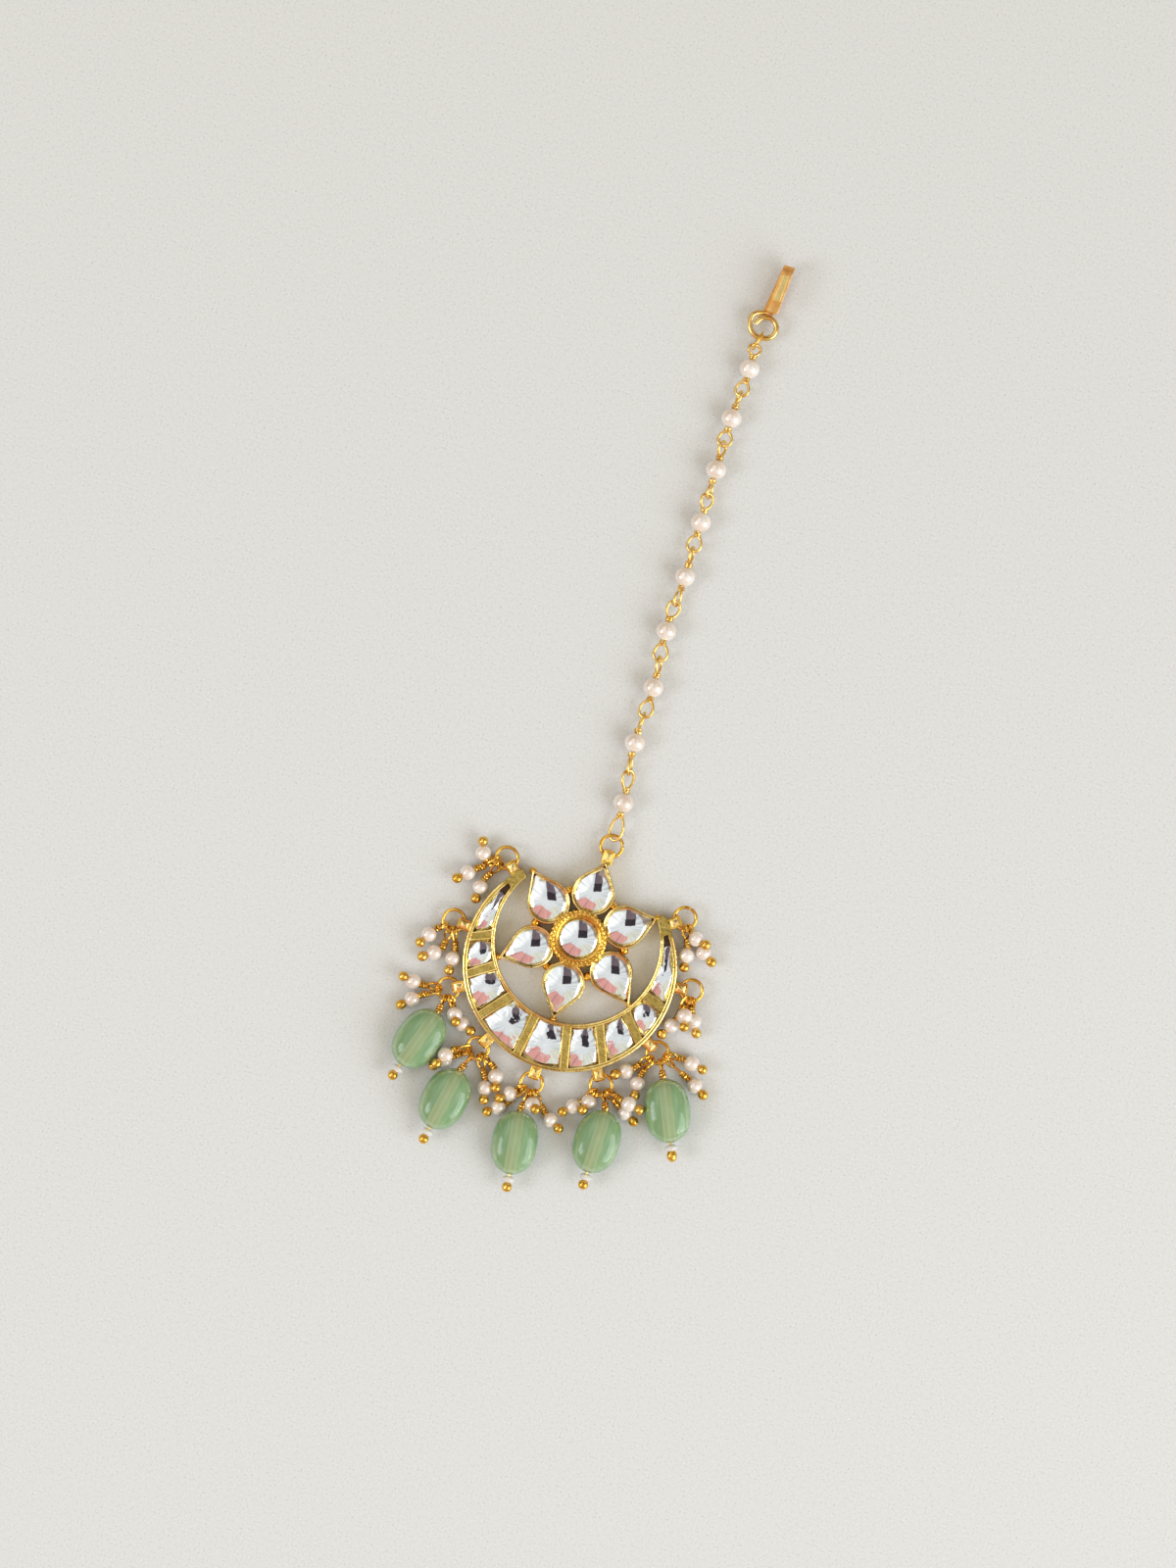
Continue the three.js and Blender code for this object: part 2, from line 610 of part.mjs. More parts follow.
function direction(heading, rise) {
  const level = Math.cos(radians(rise));
  const flat = polar(heading, level);
  return new THREE.Vector3(flat.x, flat.y, Math.sin(radians(rise)));
}

function smallDrop(row) {
  const outward = RINGS[row.ring - 1].bearing;
  const centre = ringCentre(row.ring);
  const spot = polar(outward + row.turn, row.reach, centre);
  const axis = direction(outward + row.head, row.rise);
  const neckReach = PEARL_R - SINK / 2;
  const height = Math.max(PEARL_R, NECK_LOW + neckReach * axis.z) + row.lift;
  const pearl = new THREE.Vector3(spot.x, spot.y, height);
  const neck = pearl.clone().addScaledVector(axis, -neckReach);
  const end = PEARL_R + END_BALL_R - SINK;
  const rows = [
    { along: -PEARL_R, out: 0 },
    ...ballRows(PEARL_R, 0, PEARL_ROWS),
    ...ballRows(END_BALL_R, end, BALL_ROWS),
    { along: end + END_BALL_R, out: 0 },
  ];
  return [turned(rows, pearl, axis), hookedWire(centre, neck)];
}

function greenPlace(row) {
  const outward = RINGS[row.ring - 1].bearing;
  const spot = polar(outward + row.turn, row.reach, ringCentre(row.ring));
  const middle = new THREE.Vector3(spot.x, spot.y, BEAD_THICKNESS / 2);
  return { middle, axis: direction(outward + row.head, 0) };
}

function greenPin(row) {
  const { middle, axis } = greenPlace(row);
  const coilEnd = -BEAD_LENGTH / 2 - MESH_GAP;
  const coilStart = coilEnd - COIL_LENGTH;
  const seed = BEAD_LENGTH / 2 + MESH_GAP + SEED_BEAD_LENGTH / 2;
  const end = seed + SEED_BEAD_LENGTH / 2 + END_BALL_R - SINK;
  const rows = [
    { along: coilStart, out: 0 }, { along: coilStart, out: COIL_R },
    { along: coilEnd, out: COIL_R }, { along: coilEnd, out: BEAD_PIN_R },
    { along: BEAD_LENGTH / 2 + MESH_GAP, out: BEAD_PIN_R },
    { along: seed, out: SEED_BEAD_R }, { along: seed + SEED_BEAD_LENGTH / 2, out: END_BALL_R / 2 },
    ...ballRows(END_BALL_R, end, BALL_ROWS),
    { along: end + END_BALL_R, out: 0 },
  ];
  const neck = middle.clone().addScaledVector(axis, coilStart + SINK);
  return [turned(rows, middle, axis), hookedWire(ringCentre(row.ring), neck)];
}

function drops() {
  return RINGS.map((ring, i) => {
    const number = i + 1;
    const small = DROPS.filter((row) => row.ring === number).flatMap(smallDrop);
    const green = GREEN_DROPS.filter((row) => row.ring === number).flatMap(greenPin);
    return node(`drops_${number}`, fuse(small.concat(green)), PEARL, 'pearl');
  });
}

function greenBeads() {
  const profile = [
    { along: -0.5, out: 0 }, { along: -0.5, out: 0.42 }, { along: -0.4, out: 0.74 },
    { along: -0.17, out: 1 }, { along: 0.17, out: 1 },
    { along: 0.4, out: 0.74 }, { along: 0.5, out: 0.42 }, { along: 0.5, out: 0 },
  ];
  const points = profile.map((p) => new THREE.Vector2((p.out * BEAD_WIDTH) / 2, p.along * BEAD_LENGTH));
  const blank = new THREE.LatheGeometry(points, BEAD_SIDES);
  blank.scale(1, 1, BEAD_THICKNESS / BEAD_WIDTH);
  const drill = new THREE.CylinderGeometry(BEAD_HOLE_R, BEAD_HOLE_R, BEAD_LENGTH * 2, DRILL_SIDES);
  const bead = outwardFacing(blank).subtract(toManifold(drill));
  return GREEN_DROPS.map((row, i) => {
    const { middle, axis } = greenPlace(row);
    const mesh = node(`green_bead_${i + 1}`, bead, GREEN_GLASS, 'green_glass');
    mesh.position.copy(middle);
    mesh.rotation.z = Math.atan2(axis.y, axis.x) - Math.PI / 2;
    return mesh;
  });
}

// Chain

// Two wires that pass through each other overlap by this much between their middle lines.
const INTERLOCK = 2 * CHAIN_WIRE_R + WIRE_GAP;

function pigtailReach(bearing) {
  return PIGTAIL_R + ((bearing - 180) / 90) * (2 * PIGTAIL_WIRE_R + WIRE_GAP);
}

// Distances from the pigtail's centre along the line that the hook's small ring lies on.
const HOOK_RING_TOP = pigtailReach(HOOK_RING_BEARING) - PIGTAIL_WIRE_R - HOOK_RING_WIRE_R - WIRE_GAP;
const HOOK_RING_MIDDLE = HOOK_RING_TOP + HOOK_RING_R;
const HOOK_RING_END = HOOK_RING_MIDDLE + HOOK_RING_R;

function chainEnd(number, up) {
  const here = CHAIN_ROUTE[number];
  const next = CHAIN_ROUTE[number + (up ? 1 : -1)];
  if (next) {
    const step = next.clone().sub(here);
    const reach = step.length() / 2 + INTERLOCK / 2;
    return here.clone().addScaledVector(step.normalize(), reach);
  }
  if (up) {
    const inside = HOOK_RING_END - HOOK_RING_WIRE_R - CHAIN_WIRE_R - WIRE_GAP;
    return polar(HOOK_RING_BEARING, inside, PIGTAIL_CENTRE);
  }
  const inside = RING_R - RING_WIRE_R - CHAIN_WIRE_R - WIRE_GAP;
  return polar(0, inside, TOP_RING_CENTRE);
}

function chainLink(number) {
  const here = CHAIN_ROUTE[number];
  const pearl = new THREE.Vector3(here.x, here.y, CHAIN_PEARL_R);
  const upper = chainEnd(number, true);
  const lower = chainEnd(number, false);
  const above = new THREE.Vector3(upper.x, upper.y, CHAIN_PEARL_R);
  const below = new THREE.Vector3(lower.x, lower.y, number === 0 ? RING_Z : CHAIN_PEARL_R);
  const axis = above.clone().sub(below).normalize();
  const collar = CHAIN_PEARL_R + CHAIN_COLLAR_LENGTH;
  const foot = Math.sqrt(CHAIN_PEARL_R ** 2 - CHAIN_COLLAR_R ** 2);
  const rows = [
    { along: -collar, out: 0 }, { along: -collar, out: CHAIN_COLLAR_R },
    { along: -foot, out: CHAIN_COLLAR_R },
    ...ballRows(CHAIN_PEARL_R, 0, CHAIN_PEARL_ROWS),
    { along: foot, out: CHAIN_COLLAR_R },
    { along: collar, out: CHAIN_COLLAR_R }, { along: collar, out: 0 },
  ];
  const eye = (away, far, lean) => {
    const near = pearl.clone().addScaledVector(away, collar - SINK);
    return wireOval(near, far, CHAIN_EYE_WIDTH, lean, CHAIN_WIRE_R);
  };
  return [
    turned(rows, pearl, axis),
    eye(axis, above, 90 - CHAIN_ROLL),
    eye(axis.clone().negate(), below, CHAIN_ROLL),
  ];
}

function chainLinks() {
  return CHAIN_ROUTE.map((here, i) => node(`chain_link_${i + 1}`, fuse(chainLink(i)), PEARL, 'pearl'));
}

// Hook

function strip() {
  const fold = FOLD_HEIGHT / 2;
  const profile = (radius) => {
    const bend = arc(0, 180, BEND_STEPS, (bearing) => polar(bearing, radius));
    const upperEnd = new THREE.Vector2(fold - ARM_LENGTH, radius);
    return [upperEnd, ...bend, new THREE.Vector2(fold - ARM_LENGTH, -radius)];
  };
  const outline = profile(fold).concat(profile(fold - STRIP_THICKNESS).reverse());
  const band = slab(outline, -STRIP_WIDTH / 2, STRIP_WIDTH / 2);
  const panelEnd = fold - PANEL_START;
  const panelSide = [
    new THREE.Vector2(panelEnd, fold - SINK), new THREE.Vector2(panelEnd - PANEL_RISE, fold + PANEL_RISE),
    new THREE.Vector2(panelEnd - PANEL_LENGTH + PANEL_RISE, fold + PANEL_RISE),
    new THREE.Vector2(panelEnd - PANEL_LENGTH, fold - SINK),
  ];
  const panel = slab(panelSide, -PANEL_WIDTH / 2, PANEL_WIDTH / 2);
  return band.add(panel).rotate([90, 0, 90]);
}

// Each arm swings out to the left by its own lean, the more the lower it lies.
function leaningStrip() {
  const lower = Math.tan(radians(LOWER_ARM_LEAN));
  const upper = Math.tan(radians(UPPER_ARM_LEAN));
  return strip().warp((vertex) => {
    const share = THREE.MathUtils.clamp(0.5 + vertex[2] / FOLD_HEIGHT, 0, 1);
    vertex[0] -= (FOLD_HEIGHT / 2 - vertex[1]) * (lower + (upper - lower) * share);
  });
}

function hookTop() {
  return new THREE.Vector3(
    PIGTAIL_CENTRE.x + FOLD_SHIFT,
    PIGTAIL_CENTRE.y + PIGTAIL_R + PIGTAIL_WIRE_R + WIRE_GAP + ARM_LENGTH - FOLD_HEIGHT / 2,
    HOOK_BASE + FOLD_HEIGHT / 2,
  );
}

function pigtail() {
  const top = hookTop();
  const armHeight = HOOK_BASE + STRIP_THICKNESS / 2;
  const armEndX = top.x - ARM_LENGTH * Math.tan(radians(LOWER_ARM_LEAN));
  const armEndY = top.y + FOLD_HEIGHT / 2 - ARM_LENGTH;
  const spiral = arc(PIGTAIL_START, PIGTAIL_END, PIGTAIL_POINTS, (bearing) => {
    const reach = Math.max(PIGTAIL_R, pigtailReach(bearing));
    return polar(bearing, reach, PIGTAIL_CENTRE);
  });
  const points = spiral.map((p) => new THREE.Vector3(p.x, p.y, CHAIN_PEARL_R));
  points.unshift(new THREE.Vector3(armEndX, armEndY + SINK, armHeight));
  return openWire(points, PIGTAIL_WIRE_R, PIGTAIL_STEPS);
}

function hook() {
  const top = hookTop();
  const band = leaningStrip().translate([top.x, top.y, top.z]);
  return node('hook', band.add(pigtail()), GOLD, 'gold');
}

function hookRing() {
  const mesh = node('jump_ring_hook', wireRing(HOOK_RING_R, HOOK_RING_WIRE_R), GOLD, 'gold');
  const centre = polar(HOOK_RING_BEARING, HOOK_RING_MIDDLE, PIGTAIL_CENTRE);
  mesh.position.set(centre.x, centre.y, Math.max(CHAIN_PEARL_R, HOOK_RING_R + HOOK_RING_WIRE_R));
  mesh.rotation.set(Math.PI / 2, radians(90 - HOOK_RING_BEARING), 0, 'ZXY');
  return mesh;
}

function build() {
  const jewel = new THREE.Group();
  jewel.name = 'forehead_jewel';
  jewel.add(node('setting', setting(), GOLD, 'gold'), ...stones());
  jewel.add(...jumpRings(), ...drops(), ...greenBeads());
  jewel.add(...chainLinks(), hookRing(), hook());

  // The frame's origin is the middle of the underside of the whole jewel's box.
  const box = new THREE.Box3().setFromObject(jewel);
  const middle = box.getCenter(new THREE.Vector3());
  const whole = new THREE.Group();
  whole.name = 'jewel_frame';
  jewel.position.set(-middle.x, -middle.y, -box.min.z);
  whole.add(jewel);
  return whole;
}

export default build();
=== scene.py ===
import math

import bpy
from mathutils import Matrix, Vector


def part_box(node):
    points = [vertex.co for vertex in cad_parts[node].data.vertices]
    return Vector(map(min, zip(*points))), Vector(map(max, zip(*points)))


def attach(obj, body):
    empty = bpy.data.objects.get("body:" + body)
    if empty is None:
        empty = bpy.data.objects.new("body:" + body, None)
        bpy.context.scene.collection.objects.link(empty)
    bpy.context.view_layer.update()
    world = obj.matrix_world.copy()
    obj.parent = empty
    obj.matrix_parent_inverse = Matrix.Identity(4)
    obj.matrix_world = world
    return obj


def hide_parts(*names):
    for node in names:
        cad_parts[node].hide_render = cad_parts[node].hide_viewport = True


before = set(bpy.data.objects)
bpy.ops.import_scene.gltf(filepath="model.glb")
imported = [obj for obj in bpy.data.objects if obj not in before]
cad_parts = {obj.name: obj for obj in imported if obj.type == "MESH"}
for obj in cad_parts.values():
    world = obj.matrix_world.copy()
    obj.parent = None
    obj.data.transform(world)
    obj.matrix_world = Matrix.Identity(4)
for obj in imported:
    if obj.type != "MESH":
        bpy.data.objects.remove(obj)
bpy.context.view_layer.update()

# Lengths below are millimetres from the middle of the flower; the scene is in metres.
MM = 0.001
LOW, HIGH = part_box("centre_stone")
FLOWER = Vector(((LOW[0] + HIGH[0]) / 2, (LOW[1] + HIGH[1]) / 2, 0.0))

# The same layout as the frame's
CRESCENT_R = 18.15
OPENING_R = 14.0
CRESCENT_Y = -4.75
OPENING_Y = -0.6
HORN_ANGLE = 44
HORN_SOLID_ANGLE = 55
HORN_STONE_ANGLE = 61
OUTER_WALL = 0.75
INNER_WALL = 0.6
BAR_WIDTH = 1.5
CRESCENT_HEIGHT = 2.8
BACK_THICKNESS = 0.5
PETAL_RADIUS = 3.67
PETAL_REACH = 7.95
PETAL_HEIGHT = 3.0
CENTRE_RADIUS = 4.75
CENTRE_POCKET_R = 3.75
CENTRE_HEIGHT = 3.0
LOOP_LENGTH = 2.2
LOOP_WIDTH = 1.5
LOOP_STRAP = 0.38
LOOP_PLAY = 0.45
RING_WIRE_R = 0.3
RING_R = 1.85
RING_Z = 1.5
WIRE_GAP = 0.3
DROP_WIRE_R = 0.22
PEARL_R = 1.35
END_BALL_R = 0.88
NECK_LOW = 0.5
SINK = 0.15
BEAD_LENGTH = 10.8
BEAD_WIDTH = 7.8
BEAD_THICKNESS = 5.2
BEAD_HOLE_R = 0.65
SEED_BEAD_LENGTH = 1.2
CHAIN_PEARL_R = 1.75
CHAIN_WIRE_R = 0.25
CHAIN_COLLAR_LENGTH = 0.8
CHAIN_EYE_WIDTH = 1.3
STRIP_WIDTH = 1.9
STRIP_THICKNESS = 0.5
ARM_LENGTH = 8.6
FOLD_HEIGHT = 3.4
HOOK_BASE = 0.9
UPPER_ARM_LEAN = 2.8
LOWER_ARM_LEAN = 7
PANEL_LENGTH = 4.6
PANEL_WIDTH = 1.15
PANEL_RISE = 0.18
PANEL_START = 1.9
PIGTAIL_WIRE_R = 0.36
PIGTAIL_R = 1.8
PIGTAIL_START = 300
PIGTAIL_END = -88
FOLD_SHIFT = 0.63
HOOK_RING_WIRE_R = 0.25
HOOK_RING_R = 1.55
HOOK_RING_BEARING = 193
PIGTAIL_CENTRE = Vector((-1.8, 108.25))
OUTER_CENTRE = Vector((0, CRESCENT_Y))
OPENING_CENTRE = Vector((0, OPENING_Y))

# Bearings are degrees from +Y, clockwise seen from above.
RINGS = [311.5, 273, 241, 210, 180, 147.5, 117, 84, 50]

# Divider bars: bearing at the outer wall, at the inner wall
BARS = [
    (268, 274), (247, 252), (223, 225), (193, 196.5),
    (165.5, 164.5), (143.5, 135.5), (120, 112), (97, 94),
]

# Petals: bearing, the way the tip points, tip length
PETALS = [
    (302.5, 315, 6.1), (0, 5, 5.75), (58, 57, 5.8),
    (118.5, 133, 6.3), (181, 178, 6.25), (242, 235, 5.85),
]

# Solder grains: bearing, reach
GRAINS = [(331, 8.3), (29, 8), (87, 8), (149, 6.7), (211.5, 7.2), (272, 7.8)]

# Small drops: ring, turn, reach, head, rise, lift
DROPS = [
    (1, -48, 4.1, 30, 12, 0), (1, -80, 7.1, -87, 15, 0), (1, -107, 6.7, -128, 0, 0),
    (2, -50, 4.9, -63, 20, 0), (2, -79, 6.4, -39, 8, 0), (2, -109, 6.5, -93, 8, 0),
    (3, 23, 6.1, 40, 30, 0), (3, -5, 6.4, -16, 0, 0), (3, -93, 4.5, -92, 58, 0.4),
    (3, -100, 6.4, -131, 20, 0), (4, 31, 5.5, 0, 5, 2.1), (4, 22, 6, 16, 0, 0),
    (4, -58, 6.9, -43, 20, 0), (4, -80, 5.7, -50, 30, 0), (5, 46, 4.2, 50, 30, 0),
    (5, 36, 7.1, 52, 20, 0), (5, -20, 3.6, -63, 68, 0.8), (5, -45, 7.1, -63, 25, 0),
    (6, 67, 6, 80, 19, 0), (6, 50, 3.6, 55, 44, 0), (6, -26, 6.2, -30, 0, 0),
    (6, -42, 5.6, -48, 10, 2), (7, 105, 6.3, 120, 27, 0), (7, 78, 6.3, 59, 15, 0),
    (7, -27, 6.1, -16, 11, 0), (7, -3, 8.4, 3, 0, 0), (8, 109, 6.9, 123, 5, 0),
    (8, 94, 4.4, 80, 30, 0.9), (8, 74, 5.2, 66, 0, 0), (9, 84, 3.9, 53, 24, 0.9),
    (9, 110, 6.3, 122, 0, 0), (9, 84, 6.6, 72, 0, 0),
]

# Green drops: ring, turn, reach, head
GREEN_DROPS = [
    (3, -49, 9.7, -43), (4, -15, 10.2, -20), (5, -2, 10.4, -8), (6, 19, 9.5, 32), (7, 36, 9.9, 39),
]

# Where each pearl of the chain lies
CHAIN_ROUTE = [
    (0.1, 24.2), (-1.2, 34.5), (-1.1, 44.4), (-2, 54.2), (-1.8, 63.9),
    (-2.1, 73.5), (-2.4, 82.8), (-2.6, 91.9), (-2.3, 100.8),
]

# How far the eyes of each link lean from upright: lower eye, upper eye
CHAIN_LEANS = [
    (66, 55), (-14, -6), (72, 20), (84, 68), (-24, 15), (78, 60), (-18, 30), (80, -12), (70, 64),
]

# The sizes below are the scene's own, for shapes finer than the frame's.

# How much the edges of the plates are rounded
CRESCENT_BEVEL = 0.13
COLLET_BEVEL = 0.12
BACK_BEVEL = 0.08
LAC_BEVEL = 0.02

# How far the lac reaches into the back, and how deep it lies under the rims
LAC_OVERLAP = 0.1
CRESCENT_LAC_DEPTH = 0.85
PETAL_LAC_DEPTH = 1.0
CENTRE_LAC_DEPTH = 0.5

# Raised edges: how far in from the wall's side, and radius of the wire
OUTER_EDGES = [(0.16, 0.16), (0.64, 0.11)]
OPENING_EDGES = [(0.15, 0.15), (0.5, 0.1)]
BAR_EDGE_SHIFT = 0.65
BAR_EDGE_R = 0.13
PETAL_WALL = 0.34
PETAL_EDGE_INSET = 0.18
PETAL_EDGE_R = 0.16
EDGE_SINK = 0.02

# The rope round the centre stone and the lip inside it
ROPE_R = 4.36
ROPE_THICKNESS = 0.52
ROPE_STRANDS = 36
LIP_R = 3.77
LIP_WIRE_R = 0.2

# How far the girdle of a stone lies under the rim, and how high its dome is
GIRDLE_DEPTH = 0.42
CRESCENT_CROWN = 0.66
PETAL_CROWN = 0.86
CENTRE_CROWN = 0.9
CRESCENT_TILT = 0.035

# Wires of the drops and the chain
EYE_WIRE_R = 0.22
EYE_HALF_WIDTH = 1.02
PIN_R = 0.2
SEED_GAP = 0.3

# The hook's pigtail, thicker than in the frame and filed at its end
PIGTAIL_SHOWN_R = 0.46
PIGTAIL_END_RADII = [0.42, 0.36]


# Places

def polar(bearing, reach, centre=(0, 0)):
    angle = math.radians(bearing)
    return Vector((centre[0] + reach * math.sin(angle), centre[1] + reach * math.cos(angle)))


def raised(points, height):
    return [Vector((p.x, p.y, height)) for p in points]


def circle(steps):
    """Angles evenly round a circle."""
    return [2 * math.pi * i / steps for i in range(steps)]


def reach_of_opening(bearing, radius):
    shift = OPENING_Y - CRESCENT_Y
    angle = math.radians(bearing)
    return shift * math.cos(angle) + math.sqrt(radius ** 2 - (shift * math.sin(angle)) ** 2)


def on_opening(bearing, radius):
    return polar(bearing, reach_of_opening(bearing, radius), OUTER_CENTRE)


def on_outside(bearing, radius):
    return polar(bearing, radius, OUTER_CENTRE)


def arc(start, end, steps, place):
    return [place(start + (end - start) * i / steps) for i in range(steps + 1)]


def area(points):
    return sum(a.x * b.y - b.x * a.y for a, b in zip(points, points[1:] + points[:1])) / 2


def counter_clockwise(points):
    return points if area(points) > 0 else points[::-1]


def inset(points, distance):
    """Moves every side of a closed outline inwards by the same distance."""
    outline = counter_clockwise(points)
    moved = []
    for i, point in enumerate(outline):
        side_in = (point - outline[i - 1]).normalized()
        side_out = (outline[(i + 1) % len(outline)] - point).normalized()
        normal_in = Vector((-side_in.y, side_in.x))
        normal_out = Vector((-side_out.y, side_out.x))
        mitre = (normal_in + normal_out).normalized()
        moved.append(point + mitre * distance / max(0.3, mitre.dot(normal_out)))
    return moved


def rounded(points, times, share=0.25):
    """Cuts the corners of a closed outline, more softly each time."""
    for _ in range(times):
        cut = []
        for a, b in zip(points, points[1:] + points[:1]):
            cut += [a.lerp(b, share), a.lerp(b, 1 - share)]
        points = cut
    return points


def even(points, count):
    """The same closed outline with its points at even distances."""
    closed = points + points[:1]
    lengths = [0.0]
    for a, b in zip(closed, closed[1:]):
        lengths.append(lengths[-1] + (b - a).length)
    spread, at = [], 0
    for i in range(count):
        goal = lengths[-1] * i / count
        while lengths[at + 1] < goal:
            at += 1
        share = (goal - lengths[at]) / (lengths[at + 1] - lengths[at])
        spread.append(closed[at].lerp(closed[at + 1], share))
    return spread


# Surfaces

class Shape:
    """Gathers closed surfaces into one mesh."""

    def __init__(self):
        self.points, self.faces, self.looks, self.places = [], [], [], []

    def add(self, points, faces, look=0):
        start = len(self.points)
        self.points += [Vector(p) for p in points]
        self.faces += [[start + i for i in face] for face in faces]
        self.looks += look if isinstance(look, list) else [look] * len(faces)

    def place_from(self, place):
        """Notes for each point where it lies in its own piece, for patterns that follow the piece."""
        self.places = [place(p) for p in self.points]

    def piece(self, name, looks, slot, *nodes, sharp=40):
        mesh = bpy.data.meshes.new(name)
        mesh.from_pydata([FLOWER + p * MM for p in self.points], [], self.faces)
        for look in looks:
            mesh.materials.append(look)
        mesh.polygons.foreach_set("material_index", self.looks)
        mesh.polygons.foreach_set("use_smooth", [True] * len(self.faces))
        mesh.set_sharp_from_angle(angle=math.radians(sharp))
        if self.places:
            noted = mesh.attributes.new("place", "FLOAT_VECTOR", "POINT")
            noted.data.foreach_set("vector", [x for place in self.places for x in place])
        mesh.update()
        made = bpy.data.objects.new(name, mesh)
        bpy.context.scene.collection.objects.link(made)
        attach(made, "root")
        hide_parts(*nodes)
        return made


def skin(shape, rings, closed=False, look=0):
    """Joins rings of points. Unless closed, the first and last are filled."""
    sides = len(rings[0])
    points = [p for ring in rings for p in ring]
    faces = []
    for i in range(len(rings) if closed else len(rings) - 1):
        here, after = i * sides, ((i + 1) % len(rings)) * sides
        for j in range(sides):
            k = (j + 1) % sides
            faces.append([here + j, here + k, after + k, after + j])
    if not closed:
        faces.append(list(range(sides))[::-1])
        faces.append(list(range(len(points) - sides, len(points))))
    shape.add(points, faces, look)


def tube(shape, route, radius, sides=10, closed=False, look=0):
    """Round wire along a route of points. The radius may be one number or one for each point."""
    count = len(route)
    radii = radius if isinstance(radius, list) else [radius] * count
    rings, side = [], None
    for i, point in enumerate(route):
        before = route[i - 1] if closed or i else point
        after = route[(i + 1) % count] if closed or i < count - 1 else point
        along = (after - before).normalized()
        side = along.orthogonal() if side is None else side - along * side.dot(along)
        side = side.normalized()
        up = along.cross(side)
        rings.append([point + radii[i] * (math.cos(a) * side + math.sin(a) * up) for a in circle(sides)])
    skin(shape, rings, closed, look)


def lathe(shape, rows, start, axis, sides=24, look=0):
    """A turned solid. Its rows give places along the axis and radii."""
    axis = axis.normalized()
    side = axis.orthogonal().normalized()
    up = axis.cross(side)
    rings = [[start + axis * along + out * (math.cos(a) * side + math.sin(a) * up) for a in circle(sides)]
             for along, out in rows]
    skin(shape, rings, look=look)


def ball_rows(radius, count=14, stretch=1.0, tip=0.06, middle=0.0):
    rows = []
    for i in range(count + 1):
        angle = math.pi * (tip + (1 - 2 * tip) * i / count)
        rows.append((middle - stretch * radius * math.cos(angle), radius * math.sin(angle)))
    return rows


def helix(start, end, radius, turns, steps=14, phase=0.0):
    axis = end - start
    side = axis.orthogonal().normalized()
    up = axis.normalized().cross(side)
    count = max(4, int(turns * steps))
    route = []
    for i in range(count + 1):
        angle = phase + 2 * math.pi * turns * i / count
        route.append(start + axis * i / count + radius * (math.cos(angle) * side + math.sin(angle) * up))
    return route


def oval(start, end, half_width, lean, steps=28, point=0.0):
    """An oval from one point to another, whose plane leans from upright. It may narrow to its start."""
    along = end - start
    half = along.length / 2
    along = along.normalized()
    level = Vector((-along.y, along.x, 0)).normalized()
    upright = along.cross(level).normalized()
    across = upright * math.cos(math.radians(lean)) + level * math.sin(math.radians(lean))
    middle = (start + end) / 2
    route = []
    for a in circle(steps):
        width = half_width * (1 - point + point * math.cos(a))
        route.append(middle + along * half * math.cos(a) + across * width * math.sin(a))
    return route


def plate(loops, bottom, top, bevel):
    """Points and faces of a flat plate with holes and rounded edges."""
    curve = bpy.data.curves.new("plate", "CURVE")
    curve.dimensions = "2D"
    curve.fill_mode = "BOTH"
    curve.extrude = (top - bottom) / 2 - bevel
    curve.bevel_depth = bevel
    curve.bevel_resolution = 2
    curve.offset = -bevel
    for loop in loops:
        spline = curve.splines.new("POLY")
        spline.points.add(len(loop) - 1)
        for point, place in zip(spline.points, counter_clockwise(loop)):
            point.co = (place.x, place.y, 0, 1)
        spline.use_cyclic_u = True
    made = bpy.data.objects.new("plate", curve)
    bpy.context.scene.collection.objects.link(made)
    bpy.context.view_layer.update()
    mesh = made.evaluated_get(bpy.context.evaluated_depsgraph_get()).to_mesh()
    lift = Vector((0, 0, (bottom + top) / 2))
    points = [v.co + lift for v in mesh.vertices]
    faces = [list(p.vertices) for p in mesh.polygons]
    bpy.data.objects.remove(made)
    bpy.data.curves.remove(curve)
    return points, faces


# Materials

def nodes_of(name):
    look = bpy.data.materials.new(name)
    look.use_nodes = True
    tree = look.node_tree
    return look, tree, tree.nodes["Principled BSDF"]


def put(node, name, value):
    node.inputs[name].default_value = value


def noise(tree, scale, detail=3.0, roughness=0.5, place=None):
    """A noise pattern over the object's own coordinates, or over the place given."""
    texture = tree.nodes.new("ShaderNodeTexNoise")
    put(texture, "Scale", scale)
    put(texture, "Detail", detail)
    put(texture, "Roughness", roughness)
    if place is None:
        place = tree.nodes.new("ShaderNodeTexCoord").outputs["Object"]
    tree.links.new(place, texture.inputs["Vector"])
    return texture.outputs["Fac"]


def place_in_piece(tree):
    noted = tree.nodes.new("ShaderNodeAttribute")
    noted.attribute_name = "place"
    return noted.outputs["Vector"]


def math_node(tree, operation, *values):
    made = tree.nodes.new("ShaderNodeMath")
    made.operation = operation
    for socket, value in zip(made.inputs, values):
        if isinstance(value, (int, float)):
            socket.default_value = value
        else:
            tree.links.new(value, socket)
    return made.outputs["Value"]


def vector_node(tree, operation, vector, other=None, output="Vector"):
    made = tree.nodes.new("ShaderNodeVectorMath")
    made.operation = operation
    tree.links.new(vector, made.inputs[0])
    if other is not None:
        made.inputs[1].default_value = other
    return made.outputs[output]


def paint(tree, shader, colour):
    tree.links.new(colour, shader.inputs["Base Color"])


def grey(level):
    return (level, level, level)


def blend(tree, share, first, second, kind="MIX"):
    made = tree.nodes.new("ShaderNodeMixRGB")
    made.blend_type = kind
    for socket, value in zip(made.inputs, (share, first, second)):
        if isinstance(value, float):
            socket.default_value = value
        elif isinstance(value, tuple):
            socket.default_value = (*value, 1)
        else:
            tree.links.new(value, socket)
    return made.outputs["Color"]


